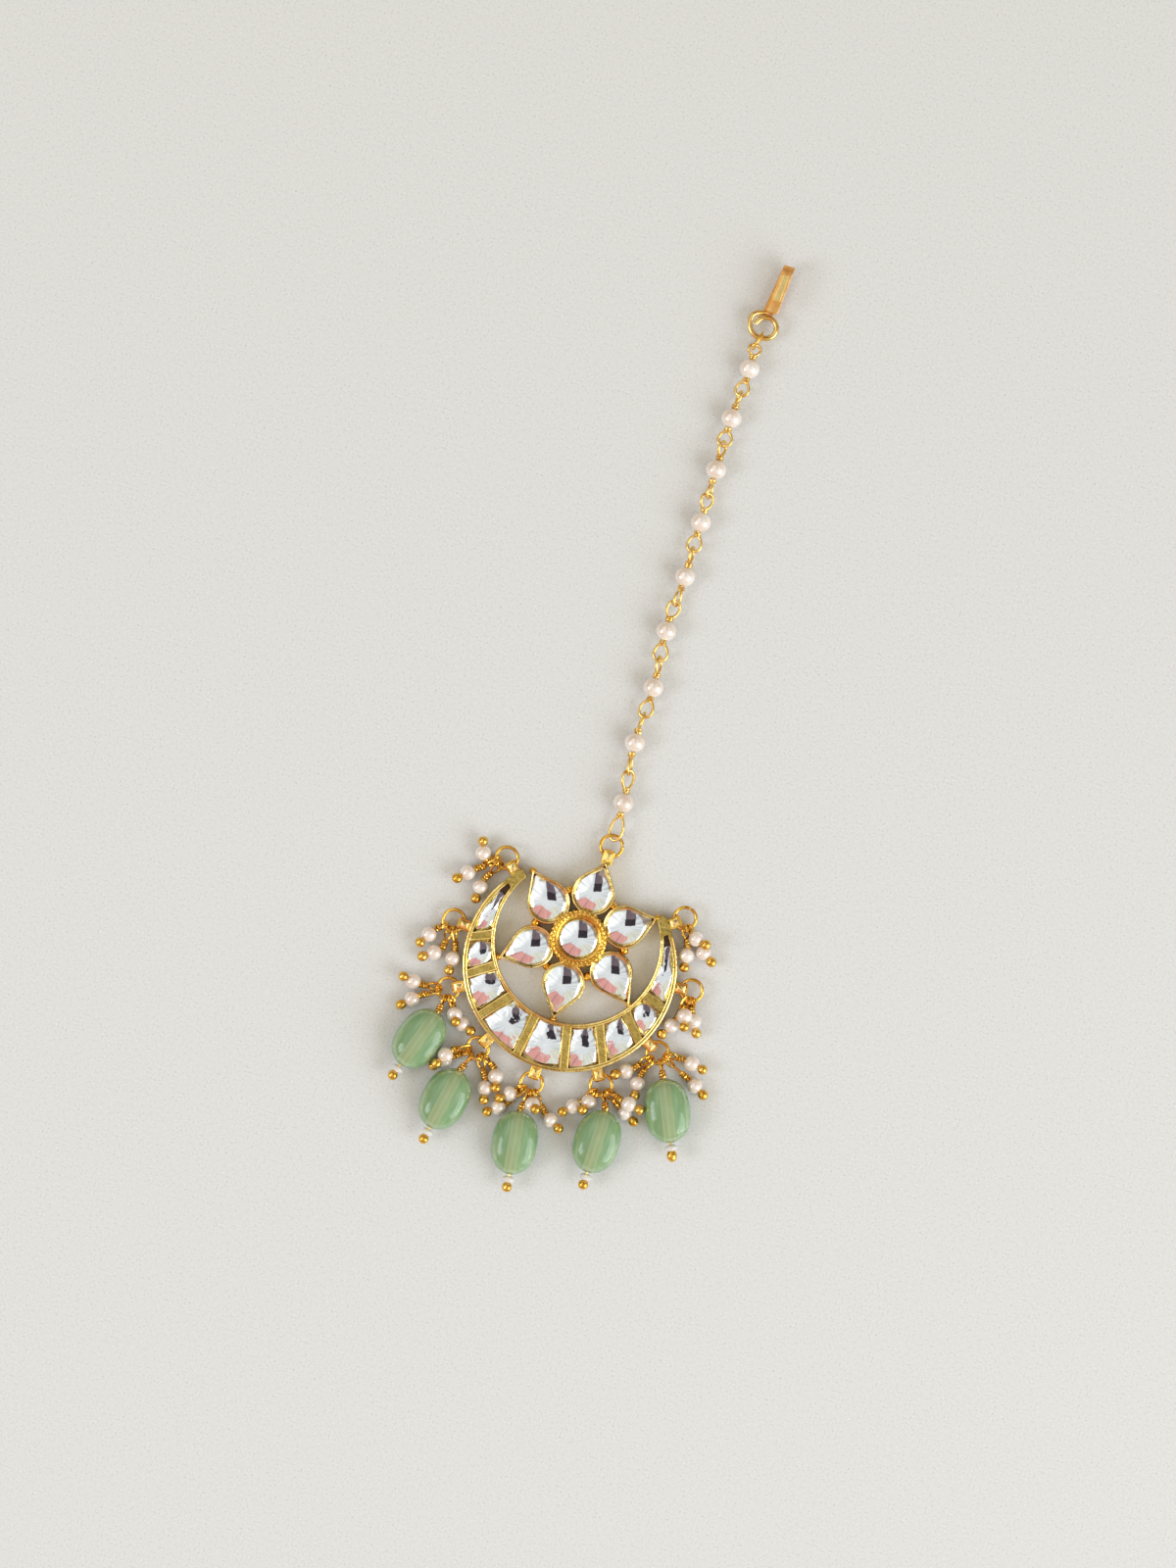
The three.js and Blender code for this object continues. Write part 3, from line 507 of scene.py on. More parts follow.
def ramp(tree, factor, stops):
    made = tree.nodes.new("ShaderNodeValToRGB")
    steps = made.color_ramp.elements
    while len(steps) < len(stops):
        steps.new(0.5)
    for step, (place, colour) in zip(steps, stops):
        step.position = place
        step.color = (*colour, 1)
    tree.links.new(factor, made.inputs["Fac"])
    return made.outputs["Color"]


def spread(tree, factor, low, high):
    made = tree.nodes.new("ShaderNodeMapRange")
    put(made, "To Min", low)
    put(made, "To Max", high)
    tree.links.new(factor, made.inputs["Value"])
    return made.outputs["Result"]


def bump(tree, shader, height, distance, strength=1.0):
    made = tree.nodes.new("ShaderNodeBump")
    put(made, "Distance", distance)
    put(made, "Strength", strength)
    tree.links.new(height, made.inputs["Height"])
    tree.links.new(made.outputs["Normal"], shader.inputs["Normal"])


def gold(name, deep, light, smooth, rough, hammer):
    look, tree, shader = nodes_of(name)
    put(shader, "Metallic", 1)
    patches = noise(tree, 700, 4)
    paint(tree, shader, ramp(tree, patches, [(0.35, deep), (0.65, light)]))
    tree.links.new(spread(tree, noise(tree, 2600, 5, 0.6), smooth, rough), shader.inputs["Roughness"])
    bump(tree, shader, noise(tree, 1500, 3), hammer)
    return look


def pearl():
    look, tree, shader = nodes_of("pearl_nacre")
    paint(tree, shader, ramp(tree, noise(tree, 420, 3), [
        (0.3, (0.71, 0.59, 0.51)), (0.5, (0.78, 0.69, 0.635)), (0.7, (0.84, 0.80, 0.785))]))
    put(shader, "Subsurface Weight", 0.25)
    put(shader, "Subsurface Radius", (1.0, 0.6, 0.5))
    put(shader, "Subsurface Scale", 0.0006)
    tree.links.new(spread(tree, noise(tree, 2500, 3), 0.16, 0.28), shader.inputs["Roughness"])
    put(shader, "Specular IOR Level", 0.75)
    put(shader, "Coat Weight", 1)
    put(shader, "Coat Roughness", 0.14)
    put(shader, "Coat IOR", 2.5)
    bump(tree, shader, noise(tree, 1800, 2), 0.00003)
    return look


def foil_glass(name, wave_scale, wave):
    look, tree, shader = nodes_of(name)
    colour = ramp(tree, noise(tree, 520, 2), [(0.3, (0.80, 0.81, 0.81)), (0.7, (0.93, 0.93, 0.90))])
    # Painted reflections: light and dark rays stand in for the facets of the stone's underside catching the
    # light; they fan out from its middle and fade towards it
    place = place_in_piece(tree)
    rays = noise(tree, 4.5, 4, place=vector_node(tree, "NORMALIZE", place))
    painted_facet_reflections = ramp(tree, rays, [(0.36, (0.62, 0.64, 0.66)), (0.46, (0.85, 0.86, 0.86)), (0.56, grey(1))])
    share = math_node(tree, "MULTIPLY", vector_node(tree, "LENGTH", place, output="Value"), 0.42)
    share = math_node(tree, "MINIMUM", share, 0.9)
    paint(tree, shader, blend(tree, share, colour, painted_facet_reflections, "MULTIPLY"))
    put(shader, "Metallic", 1)
    tree.links.new(spread(tree, noise(tree, 2200, 4), 0.02, 0.08), shader.inputs["Roughness"])
    put(shader, "Coat Weight", 1)
    put(shader, "Coat Roughness", 0.02)
    bump(tree, shader, noise(tree, wave_scale, 2), wave)
    return look


# Lac under the stones. Its near-black colour is also painted shade: it fills the pockets so that the gaps
# round the stones look dark
def lac():
    look, tree, shader = nodes_of("dark_lac")
    paint(tree, shader, ramp(tree, noise(tree, 1500, 4), [
        (0.3, (0.03, 0.009, 0.005)), (0.7, (0.09, 0.03, 0.012))]))
    put(shader, "Roughness", 0.55)
    bump(tree, shader, noise(tree, 2500, 4), 0.00008)
    return look


def green_glass():
    look, tree, shader = nodes_of("green_glass")
    # Cloudy glass with faint streaks along the bead
    place = place_in_piece(tree)
    streaks = noise(tree, 1.3, 5, place=vector_node(tree, "MULTIPLY", place, (3.6, 0.9, 1.5)))
    body = ramp(tree, streaks, [
        (0.28, (0.19, 0.34, 0.18)), (0.46, (0.24, 0.40, 0.215)),
        (0.58, (0.28, 0.44, 0.245)), (0.74, (0.36, 0.50, 0.28))])
    # The channel shows as a pale, wavering band with lighter sides
    split = tree.nodes.new("ShaderNodeSeparateXYZ")
    tree.links.new(place, split.inputs["Vector"])
    across, along = split.outputs["X"], split.outputs["Y"]
    waver = spread(tree, streaks, -0.06, 0.06)
    off = math_node(tree, "ABSOLUTE", math_node(tree, "ADD", across, waver))
    band = ramp(tree, off, [
        (0.02, grey(0.8)), (0.07, grey(0.42)), (0.19, grey(0.36)), (0.235, grey(0.75)), (0.29, grey(0))])
    glass = blend(tree, band, body, (0.46, 0.51, 0.31))
    # Painted shade: the green is made deeper and darker round the bead's edge
    outwards = math_node(tree, "ADD", math_node(tree, "POWER", across, 2), math_node(
        tree, "POWER", math_node(tree, "ABSOLUTE", along), 2.5))
    edge = ramp(tree, outwards, [(0.55, grey(1)), (0.95, (0.72, 0.80, 0.72))])
    paint(tree, shader, blend(tree, 1.0, glass, edge, "MULTIPLY"))
    put(shader, "Transmission Weight", 0.16)
    put(shader, "Subsurface Weight", 0.4)
    put(shader, "Subsurface Radius", (0.7, 1.0, 0.7))
    put(shader, "Subsurface Scale", 0.0015)
    put(shader, "IOR", 1.46)
    tree.links.new(spread(tree, noise(tree, 900, 3), 0.06, 0.14), shader.inputs["Roughness"])
    bump(tree, shader, noise(tree, 260, 2), 0.0001)
    return look


def channel():
    look, tree, shader = nodes_of("bead_channel")
    paint(tree, shader, ramp(tree, noise(tree, 500, 3), [
        (0.3, (0.80, 0.74, 0.44)), (0.7, (0.92, 0.88, 0.62))]))
    put(shader, "Roughness", 0.5)
    bump(tree, shader, noise(tree, 2000, 3), 0.00005)
    return look


def clear_glass():
    look, tree, shader = nodes_of("clear_glass")
    paint(tree, shader, ramp(tree, noise(tree, 900, 2), [(0.3, grey(0.8)), (0.7, (0.90, 0.91, 0.92))]))
    put(shader, "Transmission Weight", 0.3)
    put(shader, "IOR", 1.45)
    put(shader, "Roughness", 0.08)
    bump(tree, shader, noise(tree, 1500, 2), 0.00003)
    return look


# The plate's gold is rougher and much darker than the rims': the darkness is painted shade on the plate's
# flat faces and bars
GOLD_PLATE = gold("gold_plate", (0.45, 0.31, 0.065), (0.64, 0.45, 0.12), 0.18, 0.34, 0.00008)
GOLD_RIM = gold("gold_rim", (0.84, 0.57, 0.16), (0.98, 0.76, 0.31), 0.10, 0.22, 0.00006)
GOLD_WIRE = gold("gold_wire", (0.73, 0.40, 0.05), (0.92, 0.59, 0.13), 0.08, 0.20, 0.00006)
GOLD_LIGHT = gold("gold_light_wire", (0.80, 0.50, 0.13), (0.95, 0.70, 0.27), 0.12, 0.26, 0.00004)
GOLD_SATIN = gold("gold_satin", (0.84, 0.43, 0.12), (0.94, 0.57, 0.20), 0.38, 0.50, 0.00005)
# A darker copy of the hook's gold: painted shade for the hook's lower arm
GOLD_SHADED_ARM = gold("gold_shaded_arm", (0.66, 0.29, 0.05), (0.80, 0.42, 0.10), 0.34, 0.46, 0.00005)
GOLD_PANEL = gold("gold_panel", (0.90, 0.64, 0.22), (0.99, 0.78, 0.33), 0.36, 0.46, 0.00005)
PEARL = pearl()
FOIL_GLASS = foil_glass("foil_backed_glass", 650, 0.00001)
WAVY_GLASS = foil_glass("wavy_foil_glass", 480, 0.00016)
LAC = lac()
GREEN_GLASS = green_glass()
CHANNEL = channel()
CLEAR_GLASS = clear_glass()


# Setting

def crescent_outline():
    outer = arc(HORN_ANGLE, 360 - HORN_ANGLE, 110, lambda b: on_outside(b, CRESCENT_R))
    return outer + arc(360 - HORN_ANGLE, HORN_ANGLE, 90, lambda b: on_opening(b, OPENING_R))


def cells(horn):
    stops = [(360 - horn, 360 - horn, 0)]
    stops += [(outer, inner, BAR_WIDTH / 2) for outer, inner in BARS]
    stops.append((horn, horn, 0))
    return list(zip(stops, stops[1:]))


def cell_outline(high, low, widen=0.0):
    outer_r = CRESCENT_R - OUTER_WALL + widen
    inner_r = OPENING_R + INNER_WALL - widen
    outer = arc(
        low[0] + math.degrees(low[2] / outer_r), high[0] - math.degrees(high[2] / outer_r), 12,
        lambda b: on_outside(b, outer_r))
    high_reach, low_reach = reach_of_opening(high[1], inner_r), reach_of_opening(low[1], inner_r)
    inner = arc(
        high[1] - math.degrees(high[2] / high_reach), low[1] + math.degrees(low[2] / low_reach), 10,
        lambda b: on_opening(b, inner_r))
    return outer + inner


def petal_outline(bearing, heading, tip, wall=0.0, steps=44):
    centre = polar(bearing, PETAL_REACH)
    radius = PETAL_RADIUS - wall
    tip = tip * radius / PETAL_RADIUS
    flank = math.degrees(math.acos(radius / tip))
    round_part = arc(heading + flank, heading + 360 - flank, steps, lambda b: polar(b, radius, centre))
    return [polar(heading, tip, centre)] + round_part


def strap_loop(shape, edge, bearing):
    half = RING_WIRE_R + WIRE_GAP + LOOP_STRAP
    hole = half - LOOP_STRAP
    band = [(-OUTER_WALL / 2, half), (LOOP_LENGTH - 0.25, half), (LOOP_LENGTH, half - 0.25),
            (LOOP_LENGTH, 0.25 - half), (LOOP_LENGTH - 0.25, -half), (-OUTER_WALL / 2, -half)]
    gap = [(LOOP_STRAP / 2, hole), (LOOP_LENGTH - LOOP_STRAP, hole),
           (LOOP_LENGTH - LOOP_STRAP, -hole), (LOOP_STRAP / 2, -hole)]
    loops = [[Vector(p) for p in band], [Vector(p) for p in gap]]
    points, faces = plate(loops, -LOOP_WIDTH / 2 - 0.15, LOOP_WIDTH / 2 + 0.15, 0.16)
    outwards = Matrix.Rotation(math.radians(90 - bearing), 3, "Z")

    def placed(points, turn=outwards):
        return [turn @ p + Vector((edge.x, edge.y, RING_Z)) for p in points]

    shape.add(placed(points, outwards @ Matrix.Rotation(math.pi / 2, 3, "X")), faces, 1)
    # The strap's top is pressed into a low roof with a ridge at each side
    wide = LOOP_WIDTH / 2 + 0.05
    for side in (-1, 1):
        ridge = [Vector((x, side * wide, half)) for x in (0.15, 0.8, 1.4, LOOP_LENGTH - 0.3)]
        tube(shape, placed(ridge), 0.15, 8, look=1)
    corners = [(0.3, -0.62), (0.3, 0.62), (1.75, 0.62), (1.75, -0.62)]
    inner = [(0.62, -0.12), (0.62, 0.12), (1.43, 0.12), (1.43, -0.12)]
    layers = [[Vector((x, y, half + rise)) for x, y in edge_line]
              for edge_line, rise in ((corners, -0.1), (corners, 0.02), (inner, 0.24))]
    skin(shape, [placed(layer) for layer in layers], look=3)


def rope(shape, radius, height, thickness, strands):
    rings = []
    steps = strands * 9
    for i in range(steps):
        turn = 2 * math.pi * i / steps
        out = Vector((math.cos(turn), math.sin(turn), 0))
        ring = []
        for j in range(16):
            angle = 2 * math.pi * j / 16
            swell = thickness * (0.8 + 0.26 * abs(math.cos((strands * turn + 4 * angle) / 2)))
            spot = out * (radius + swell * math.cos(angle))
            ring.append(spot + Vector((0, 0, height + swell * math.sin(angle))))
        rings.append(ring)
    skin(shape, rings, closed=True, look=1)


def blob(shape, spot, radius, height, look=1):
    rows = [(0, radius)] + [(height - radius * (1 - math.sin(a)), radius * math.cos(a))
                            for a in (math.pi / 2 * i / 7 for i in range(7))] + [(height, 0.02)]
    lathe(shape, rows, Vector((spot.x, spot.y, 0)), Vector((0, 0, 1)), 16, look)


def wobble(points, size, seed):
    """Moves an outline a little, smoothly, as handwork does."""
    moved = []
    for i, p in enumerate(points):
        a = 0.9 * p.x + seed
        b = 1.1 * p.y - seed
        moved.append(p + size * Vector((math.sin(a + 2 * b), math.cos(b - 1.7 * a))))
    return moved


def crescent(shape):
    outline = crescent_outline()
    pockets = [cell_outline(high, low) for high, low in cells(HORN_SOLID_ANGLE)]
    openings = [rounded(wobble(p, 0.05, 3.1 * i), 1, 0.12) for i, p in enumerate(pockets)]
    shape.add(*plate([outline] + openings, 0.05, CRESCENT_HEIGHT, CRESCENT_BEVEL))
    shape.add(*plate([outline], 0, BACK_THICKNESS, BACK_BEVEL))
    for pocket in pockets:
        lac_top = CRESCENT_HEIGHT - CRESCENT_LAC_DEPTH
        shape.add(*plate([inset(pocket, -0.05)], BACK_THICKNESS - LAC_OVERLAP, lac_top, LAC_BEVEL), 2)


def raised_edges(shape):
    """Thin edges along the bars, the outer and the inner wall."""
    height = CRESCENT_HEIGHT - EDGE_SINK
    for outer, inner in BARS:
        for side in (-1, 1):
            far = on_outside(outer + side * math.degrees(BAR_EDGE_SHIFT / CRESCENT_R), CRESCENT_R - 0.5)
            reach = reach_of_opening(inner, OPENING_R)
            near = on_opening(inner + side * math.degrees(BAR_EDGE_SHIFT / reach), OPENING_R + 0.4)
            route = [far.lerp(near, k / 8) for k in range(9)]
            tube(shape, raised(route, height), BAR_EDGE_R, 6, look=3)
    walls = [(on_outside, CRESCENT_R - depth, thickness) for depth, thickness in OUTER_EDGES]
    walls += [(on_opening, OPENING_R + depth, thickness) for depth, thickness in OPENING_EDGES]
    for place, radius, thickness in walls:
        route = arc(HORN_SOLID_ANGLE + 2, 358 - HORN_SOLID_ANGLE, 120, lambda b: place(b, radius))
        tube(shape, raised(route, height), thickness, 8, look=3)


def petals(shape):
    for i, (bearing, heading, tip) in enumerate(PETALS):
        outer = petal_outline(bearing, heading, tip)
        inner = petal_outline(bearing, heading, tip, PETAL_WALL)
        shape.add(*plate([wobble(outer, 0.03, i), inner], 0.02, PETAL_HEIGHT, COLLET_BEVEL), 3)
        shape.add(*plate([outer], 0, BACK_THICKNESS, BACK_BEVEL))
        pocket = petal_outline(bearing, heading, tip, 0.3)
        lac_top = PETAL_HEIGHT - PETAL_LAC_DEPTH
        shape.add(*plate([pocket], BACK_THICKNESS - LAC_OVERLAP, lac_top, LAC_BEVEL), 2)
        rim = raised(petal_outline(bearing, heading, tip, PETAL_EDGE_INSET), PETAL_HEIGHT - EDGE_SINK)
        tube(shape, rim, PETAL_EDGE_R, 8, closed=True, look=3)


def flower_centre(shape):
    round_wall = [arc(0, 354, 59, lambda b: polar(b, r)) for r in (CENTRE_RADIUS, CENTRE_POCKET_R - 0.1)]
    shape.add(*plate(round_wall, 0.02, CENTRE_HEIGHT - 0.1, COLLET_BEVEL), 1)
    shape.add(*plate([round_wall[0]], 0, BACK_THICKNESS, BACK_BEVEL))
    lac_top = CENTRE_HEIGHT - CENTRE_LAC_DEPTH
    shape.add(*plate([round_wall[1]], BACK_THICKNESS - LAC_OVERLAP, lac_top, LAC_BEVEL), 2)
    rope(shape, ROPE_R, CENTRE_HEIGHT - EDGE_SINK, ROPE_THICKNESS, ROPE_STRANDS)
    lip = [polar(b, LIP_R) for b in range(0, 360, 5)]
    tube(shape, raised(lip, CENTRE_HEIGHT + 0.08), LIP_WIRE_R, 8, closed=True, look=1)


def solder(shape):
    for bearing, reach in GRAINS:
        blob(shape, polar(bearing, reach), 0.75, 2.2)
    for bearing, heading, tip in PETALS:
        point = polar(heading, tip, polar(bearing, PETAL_REACH))
        if bearing:
            away = (point - OPENING_CENTRE).normalized() * OPENING_R + OPENING_CENTRE
            blob(shape, (point + away) / 2, 0.62, 2.5)
            blob(shape, point.lerp(away, 0.3), 0.3, 3.1)


def setting():
    shape = Shape()
    for part in (crescent, raised_edges, petals, flower_centre, solder):
        part(shape)
    for bearing in RINGS:
        strap_loop(shape, on_outside(bearing, CRESCENT_R), bearing)
    _, heading, tip = PETALS[1]
    strap_loop(shape, polar(heading, tip, polar(0, PETAL_REACH)), 0)
    shape.piece("setting_metal", [GOLD_PLATE, GOLD_WIRE, LAC, GOLD_RIM], "gold", "setting")


# Stones

def stone(node, outline, rim, crown, look, tilt=(0, 0)):
    """A foil-backed stone: a low smooth dome, steeper towards its rim, that its outline cuts."""
    outline = even(outline, 96)
    weight = area(outline)
    centre = Vector((0, 0))
    for a, b in zip(outline, outline[1:] + outline[:1]):
        centre += (a + b) * (a.x * b.y - b.x * a.y) / (6 * weight)
    girdle = rim - GIRDLE_DEPTH
    reaches = [(p - centre).length for p in outline]
    smooth = [sum(reaches[(i + k) % 96] for k in range(-13, 14)) / 27 for i in range(96)]
    rings = [[Vector((p.x, p.y, BACK_THICKNESS + 0.3)) for p in outline]]
    for share in [1 - i / 15 for i in range(15)] + [0.02]:
        ring = []
        for p, reach, level in zip(outline, reaches, smooth):
            spot = centre + (p - centre) * share
            out = share * reach / level
            dome = 1 - 0.82 * out ** 2 - 0.18 * out ** 6 if out < 1 else 1.7 * (1 - out)
            height = girdle + crown * max(-0.7, dome)
            height += tilt[0] * (spot.x - centre.x) + tilt[1] * (spot.y - centre.y)
            ring.append(Vector((spot.x, spot.y, height)))
        rings.append(ring)
    shape = Shape()
    skin(shape, rings)
    shape.place_from(lambda p: (p.x - centre.x, p.y - centre.y, 0))
    shape.piece(f"{node}_glass", [look], "foil_glass", node, sharp=50)


def stones():
    for i, (high, low) in enumerate(cells(HORN_STONE_ANGLE)):
        outline = rounded(inset(wobble(cell_outline(high, low), 0.06, 2.3 * i), 0.06), 3, 0.2)
        tilt = (CRESCENT_TILT * math.sin(2.1 * i + 0.6), CRESCENT_TILT * math.cos(3.3 * i))
        stone(f"crescent_stone_{i + 1}", counter_clockwise(outline),
              CRESCENT_HEIGHT, CRESCENT_CROWN, WAVY_GLASS, tilt)
    for i, (bearing, heading, tip) in enumerate(PETALS):
        outline = rounded(petal_outline(bearing, heading, tip, 0.4), 1, 0.12)
        stone(f"petal_stone_{i + 1}", counter_clockwise(outline), PETAL_HEIGHT, PETAL_CROWN, FOIL_GLASS)
    outline = [polar(b, CENTRE_POCKET_R - 0.2) for b in range(0, 360, 4)]
    stone("centre_stone", counter_clockwise(outline), CENTRE_HEIGHT, CENTRE_CROWN, FOIL_GLASS)


# Rings and drops

def ring_reach():
    return LOOP_LENGTH - LOOP_STRAP - LOOP_PLAY - RING_WIRE_R + RING_R


def ring_centre(number):
    return on_outside(RINGS[number - 1], CRESCENT_R + ring_reach())


_, TOP_HEADING, TOP_TIP = PETALS[1]
TOP_RING_CENTRE = polar(0, ring_reach(), polar(TOP_HEADING, TOP_TIP, polar(0, PETAL_REACH)))


def jump_ring(node, centre, radius, wire, across, up, seam):
    """A wire ring with a closed seam."""
    route = []
    for i in range(61):
        angle = math.radians(seam + 1.2 + 357.6 * i / 60)
        route.append(centre + radius * (math.cos(angle) * across + math.sin(angle) * up))
    shape = Shape()
    tube(shape, route, [wire * 0.9] + [wire] * 59 + [wire * 0.9], 12)
    shape.piece(f"{node}_wire", [GOLD_WIRE], "gold", node)


def jump_rings():
    flat = (Vector((1, 0, 0)), Vector((0, 1, 0)))
    for i in range(len(RINGS)):
        spot = ring_centre(i + 1)
        place = Vector((spot.x, spot.y, RING_Z))
        jump_ring(f"jump_ring_{i + 1}", place, RING_R, RING_WIRE_R, *flat, 90 - RINGS[i] + 40)
    spot = TOP_RING_CENTRE
    jump_ring("jump_ring_top", Vector((spot.x, spot.y, RING_Z)), RING_R, RING_WIRE_R, *flat, 20)


def heading_vector(heading, rise):
    flat = polar(heading, math.cos(math.radians(rise)))
    return Vector((flat.x, flat.y, math.sin(math.radians(rise))))


def eye_and_wrap(shape, centre, neck, lean, wrap):
    """A wire wound round the jump ring and closed to an eye, then the wrapped neck."""
    along = Vector((neck.x - centre.x, neck.y - centre.y, 0)).normalized()
    inner = RING_R - RING_WIRE_R - DROP_WIRE_R - 0.16
    start = Vector((centre.x, centre.y, RING_Z)) + along * inner
    # The wire's end is wound round the ring
    wound = Vector((centre.x, centre.y, RING_Z)) + along * RING_R
    tangent = Vector((-along.y, along.x, 0))
    winding = helix(wound - tangent * 0.4, wound + tangent * 0.4, RING_WIRE_R + 0.19, 1.7, 16, lean)
    tube(shape, winding, 0.17, 7)
    span = (neck - start).length
    eye = min(max(span - wrap, 1.5), 2.5, span)
    end = start.lerp(neck, eye / span)
    if eye > 2:
        end.z = max(end.z, RING_Z - 0.5)
    tube(shape, oval(end, start, EYE_HALF_WIDTH, lean, point=0.15), EYE_WIRE_R, 8, closed=True)
    rest = (neck - end).length
    tube(shape, [end, end.lerp(neck, 0.5), neck], EYE_WIRE_R, 8)
    if rest > 0.3:
        coil = min(rest, 1.9)
        tube(shape, helix(neck.lerp(end, coil / rest), neck, 0.46, max(2, coil / 0.46)), 0.2, 7)


def drops():
    for number in range(1, 10):
        pearls, wires, seeds = Shape(), Shape(), Shape()
        bearing = RINGS[number - 1]
        centre = ring_centre(number)
        for i, (ring, turn, reach, head, rise, lift) in enumerate(DROPS):
            if ring != number:
                continue
            spot = polar(bearing + turn, reach, centre)
            axis = heading_vector(bearing + head, rise)
            neck_reach = PEARL_R - SINK / 2
            height = max(PEARL_R, NECK_LOW + neck_reach * axis.z) + lift
            middle = Vector((spot.x, spot.y, height))
            lathe(pearls, ball_rows(PEARL_R, 18, 0.98 - 0.03 * (i % 3), 0.07), middle, axis, 28)
            end = PEARL_R + END_BALL_R - SINK
            stretch = (0.95, 1.05, 1.0)[i % 3]
            lathe(wires, ball_rows(END_BALL_R, 12, stretch, 0.02), middle + axis * end, axis, 20)
            neck = middle - axis * (PEARL_R - 0.05)
            eye_and_wrap(wires, centre, neck, (-42, 22, 44, -20)[i % 4], 1.6)
        green = [row for row in GREEN_DROPS if row[0] == number]
        for _, turn, reach, head in green:
            spot = polar(bearing + turn, reach, centre)
            axis = heading_vector(bearing + head, 0)
            middle = Vector((spot.x, spot.y, BEAD_THICKNESS / 2))
            top = middle - axis * (BEAD_LENGTH / 2 - 0.1)
            eye_and_wrap(wires, centre, top - axis * 0.1, 10, 1.5)
            pin_end = middle + axis * (BEAD_LENGTH / 2 + SEED_GAP + SEED_BEAD_LENGTH)
            tube(wires, [top - axis * 0.5, middle, pin_end], PIN_R, 8)
            seed = middle + axis * (BEAD_LENGTH / 2 + SEED_GAP + SEED_BEAD_LENGTH / 2)
            rows = [(-0.56, 0.3), (-0.5, 0.7), (-0.3, 0.98), (0, 1.08),
                    (0.3, 0.98), (0.5, 0.7), (0.56, 0.3)]
            lathe(seeds, rows, seed, axis, 24)
            stretch = 1.25 if number == 7 else 1.0
            end = BEAD_LENGTH / 2 + SEED_GAP + SEED_BEAD_LENGTH + END_BALL_R - SINK
            lathe(wires, ball_rows(END_BALL_R, 12, stretch, 0.02), middle + axis * end, axis, 20)
        pearls.piece(f"drops_{number}_pearls", [PEARL], "pearl", f"drops_{number}")
        wires.piece(f"drops_{number}_wires", [GOLD_WIRE], "gold", f"drops_{number}")
        if green:
            seeds.piece(f"drops_{number}_seed_bead", [CLEAR_GLASS], "foil_glass", f"drops_{number}")


def green_beads():
    for i, (number, turn, reach, head) in enumerate(GREEN_DROPS):
        bearing = RINGS[number - 1]
        spot = polar(bearing + turn, reach, ring_centre(number))
        axis = heading_vector(bearing + head, 0)
        side = Vector((axis.y, -axis.x, 0))
        up = Vector((0, 0, 1))
        middle = Vector((spot.x, spot.y, BEAD_THICKNESS / 2))
        rows = []
        for k in range(37):
            along = -1 + 2 * k / 36
            bulge = (1 - 0.985 * abs(along) ** 2.5) ** 0.5
            rows.append((along, max(bulge, 0.2)))
        rows = [(-1, 0.167)] + rows + [(1, 0.167)]
        rings = []
        for along, out in rows:
            rings.append([middle + axis * along * BEAD_LENGTH / 2 + out * (
                math.cos(a) * side * BEAD_WIDTH / 2 + math.sin(a) * up * BEAD_THICKNESS / 2)
                for a in circle(48)])
        for along in (1, -1):
            mouth = middle + axis * along * BEAD_LENGTH / 2
            rings.append([mouth + BEAD_HOLE_R * (math.cos(a) * side + math.sin(a) * up) for a in circle(48)])
        shape = Shape()
        skin(shape, rings, closed=True)
        shape.place_from(lambda p: (
            (p - middle).dot(side) * 2 / BEAD_WIDTH,
            (p - middle).dot(axis) * 2 / BEAD_LENGTH,
            (p - middle).z * 2 / BEAD_THICKNESS))
        shape.piece(f"green_bead_{i + 1}_glass", [GREEN_GLASS], "green_glass", f"green_bead_{i + 1}")
        lining = Shape()
        length = BEAD_LENGTH / 2 - 0.12
        rows = [(-length, 0.25), (-length, 0.6), (length, 0.6), (length, 0.25)]
        lathe(lining, rows, middle, axis, 24)
        lining.piece(f"green_bead_{i + 1}_channel", [CHANNEL], "green_glass", f"green_bead_{i + 1}")


# Chain

def pigtail_reach(bearing):
    return PIGTAIL_R + ((bearing - 180) / 90) * (2 * PIGTAIL_WIRE_R + WIRE_GAP)


INTERLOCK = 2 * CHAIN_WIRE_R + WIRE_GAP
HOOK_RING_TOP = pigtail_reach(HOOK_RING_BEARING) - PIGTAIL_WIRE_R - HOOK_RING_WIRE_R - WIRE_GAP
HOOK_RING_MIDDLE = HOOK_RING_TOP + HOOK_RING_R
HOOK_RING_END = HOOK_RING_MIDDLE + HOOK_RING_R


def chain_end(number, step):
    here = Vector(CHAIN_ROUTE[number])
    if 0 <= number + step < len(CHAIN_ROUTE):
        line = Vector(CHAIN_ROUTE[number + step]) - here
        return here + line.normalized() * (line.length / 2 + INTERLOCK / 2)
    if step > 0:
        reach = HOOK_RING_END - HOOK_RING_WIRE_R - CHAIN_WIRE_R - WIRE_GAP
        return polar(HOOK_RING_BEARING, reach, PIGTAIL_CENTRE)
    return polar(0, RING_R - RING_WIRE_R - CHAIN_WIRE_R - WIRE_GAP, TOP_RING_CENTRE)


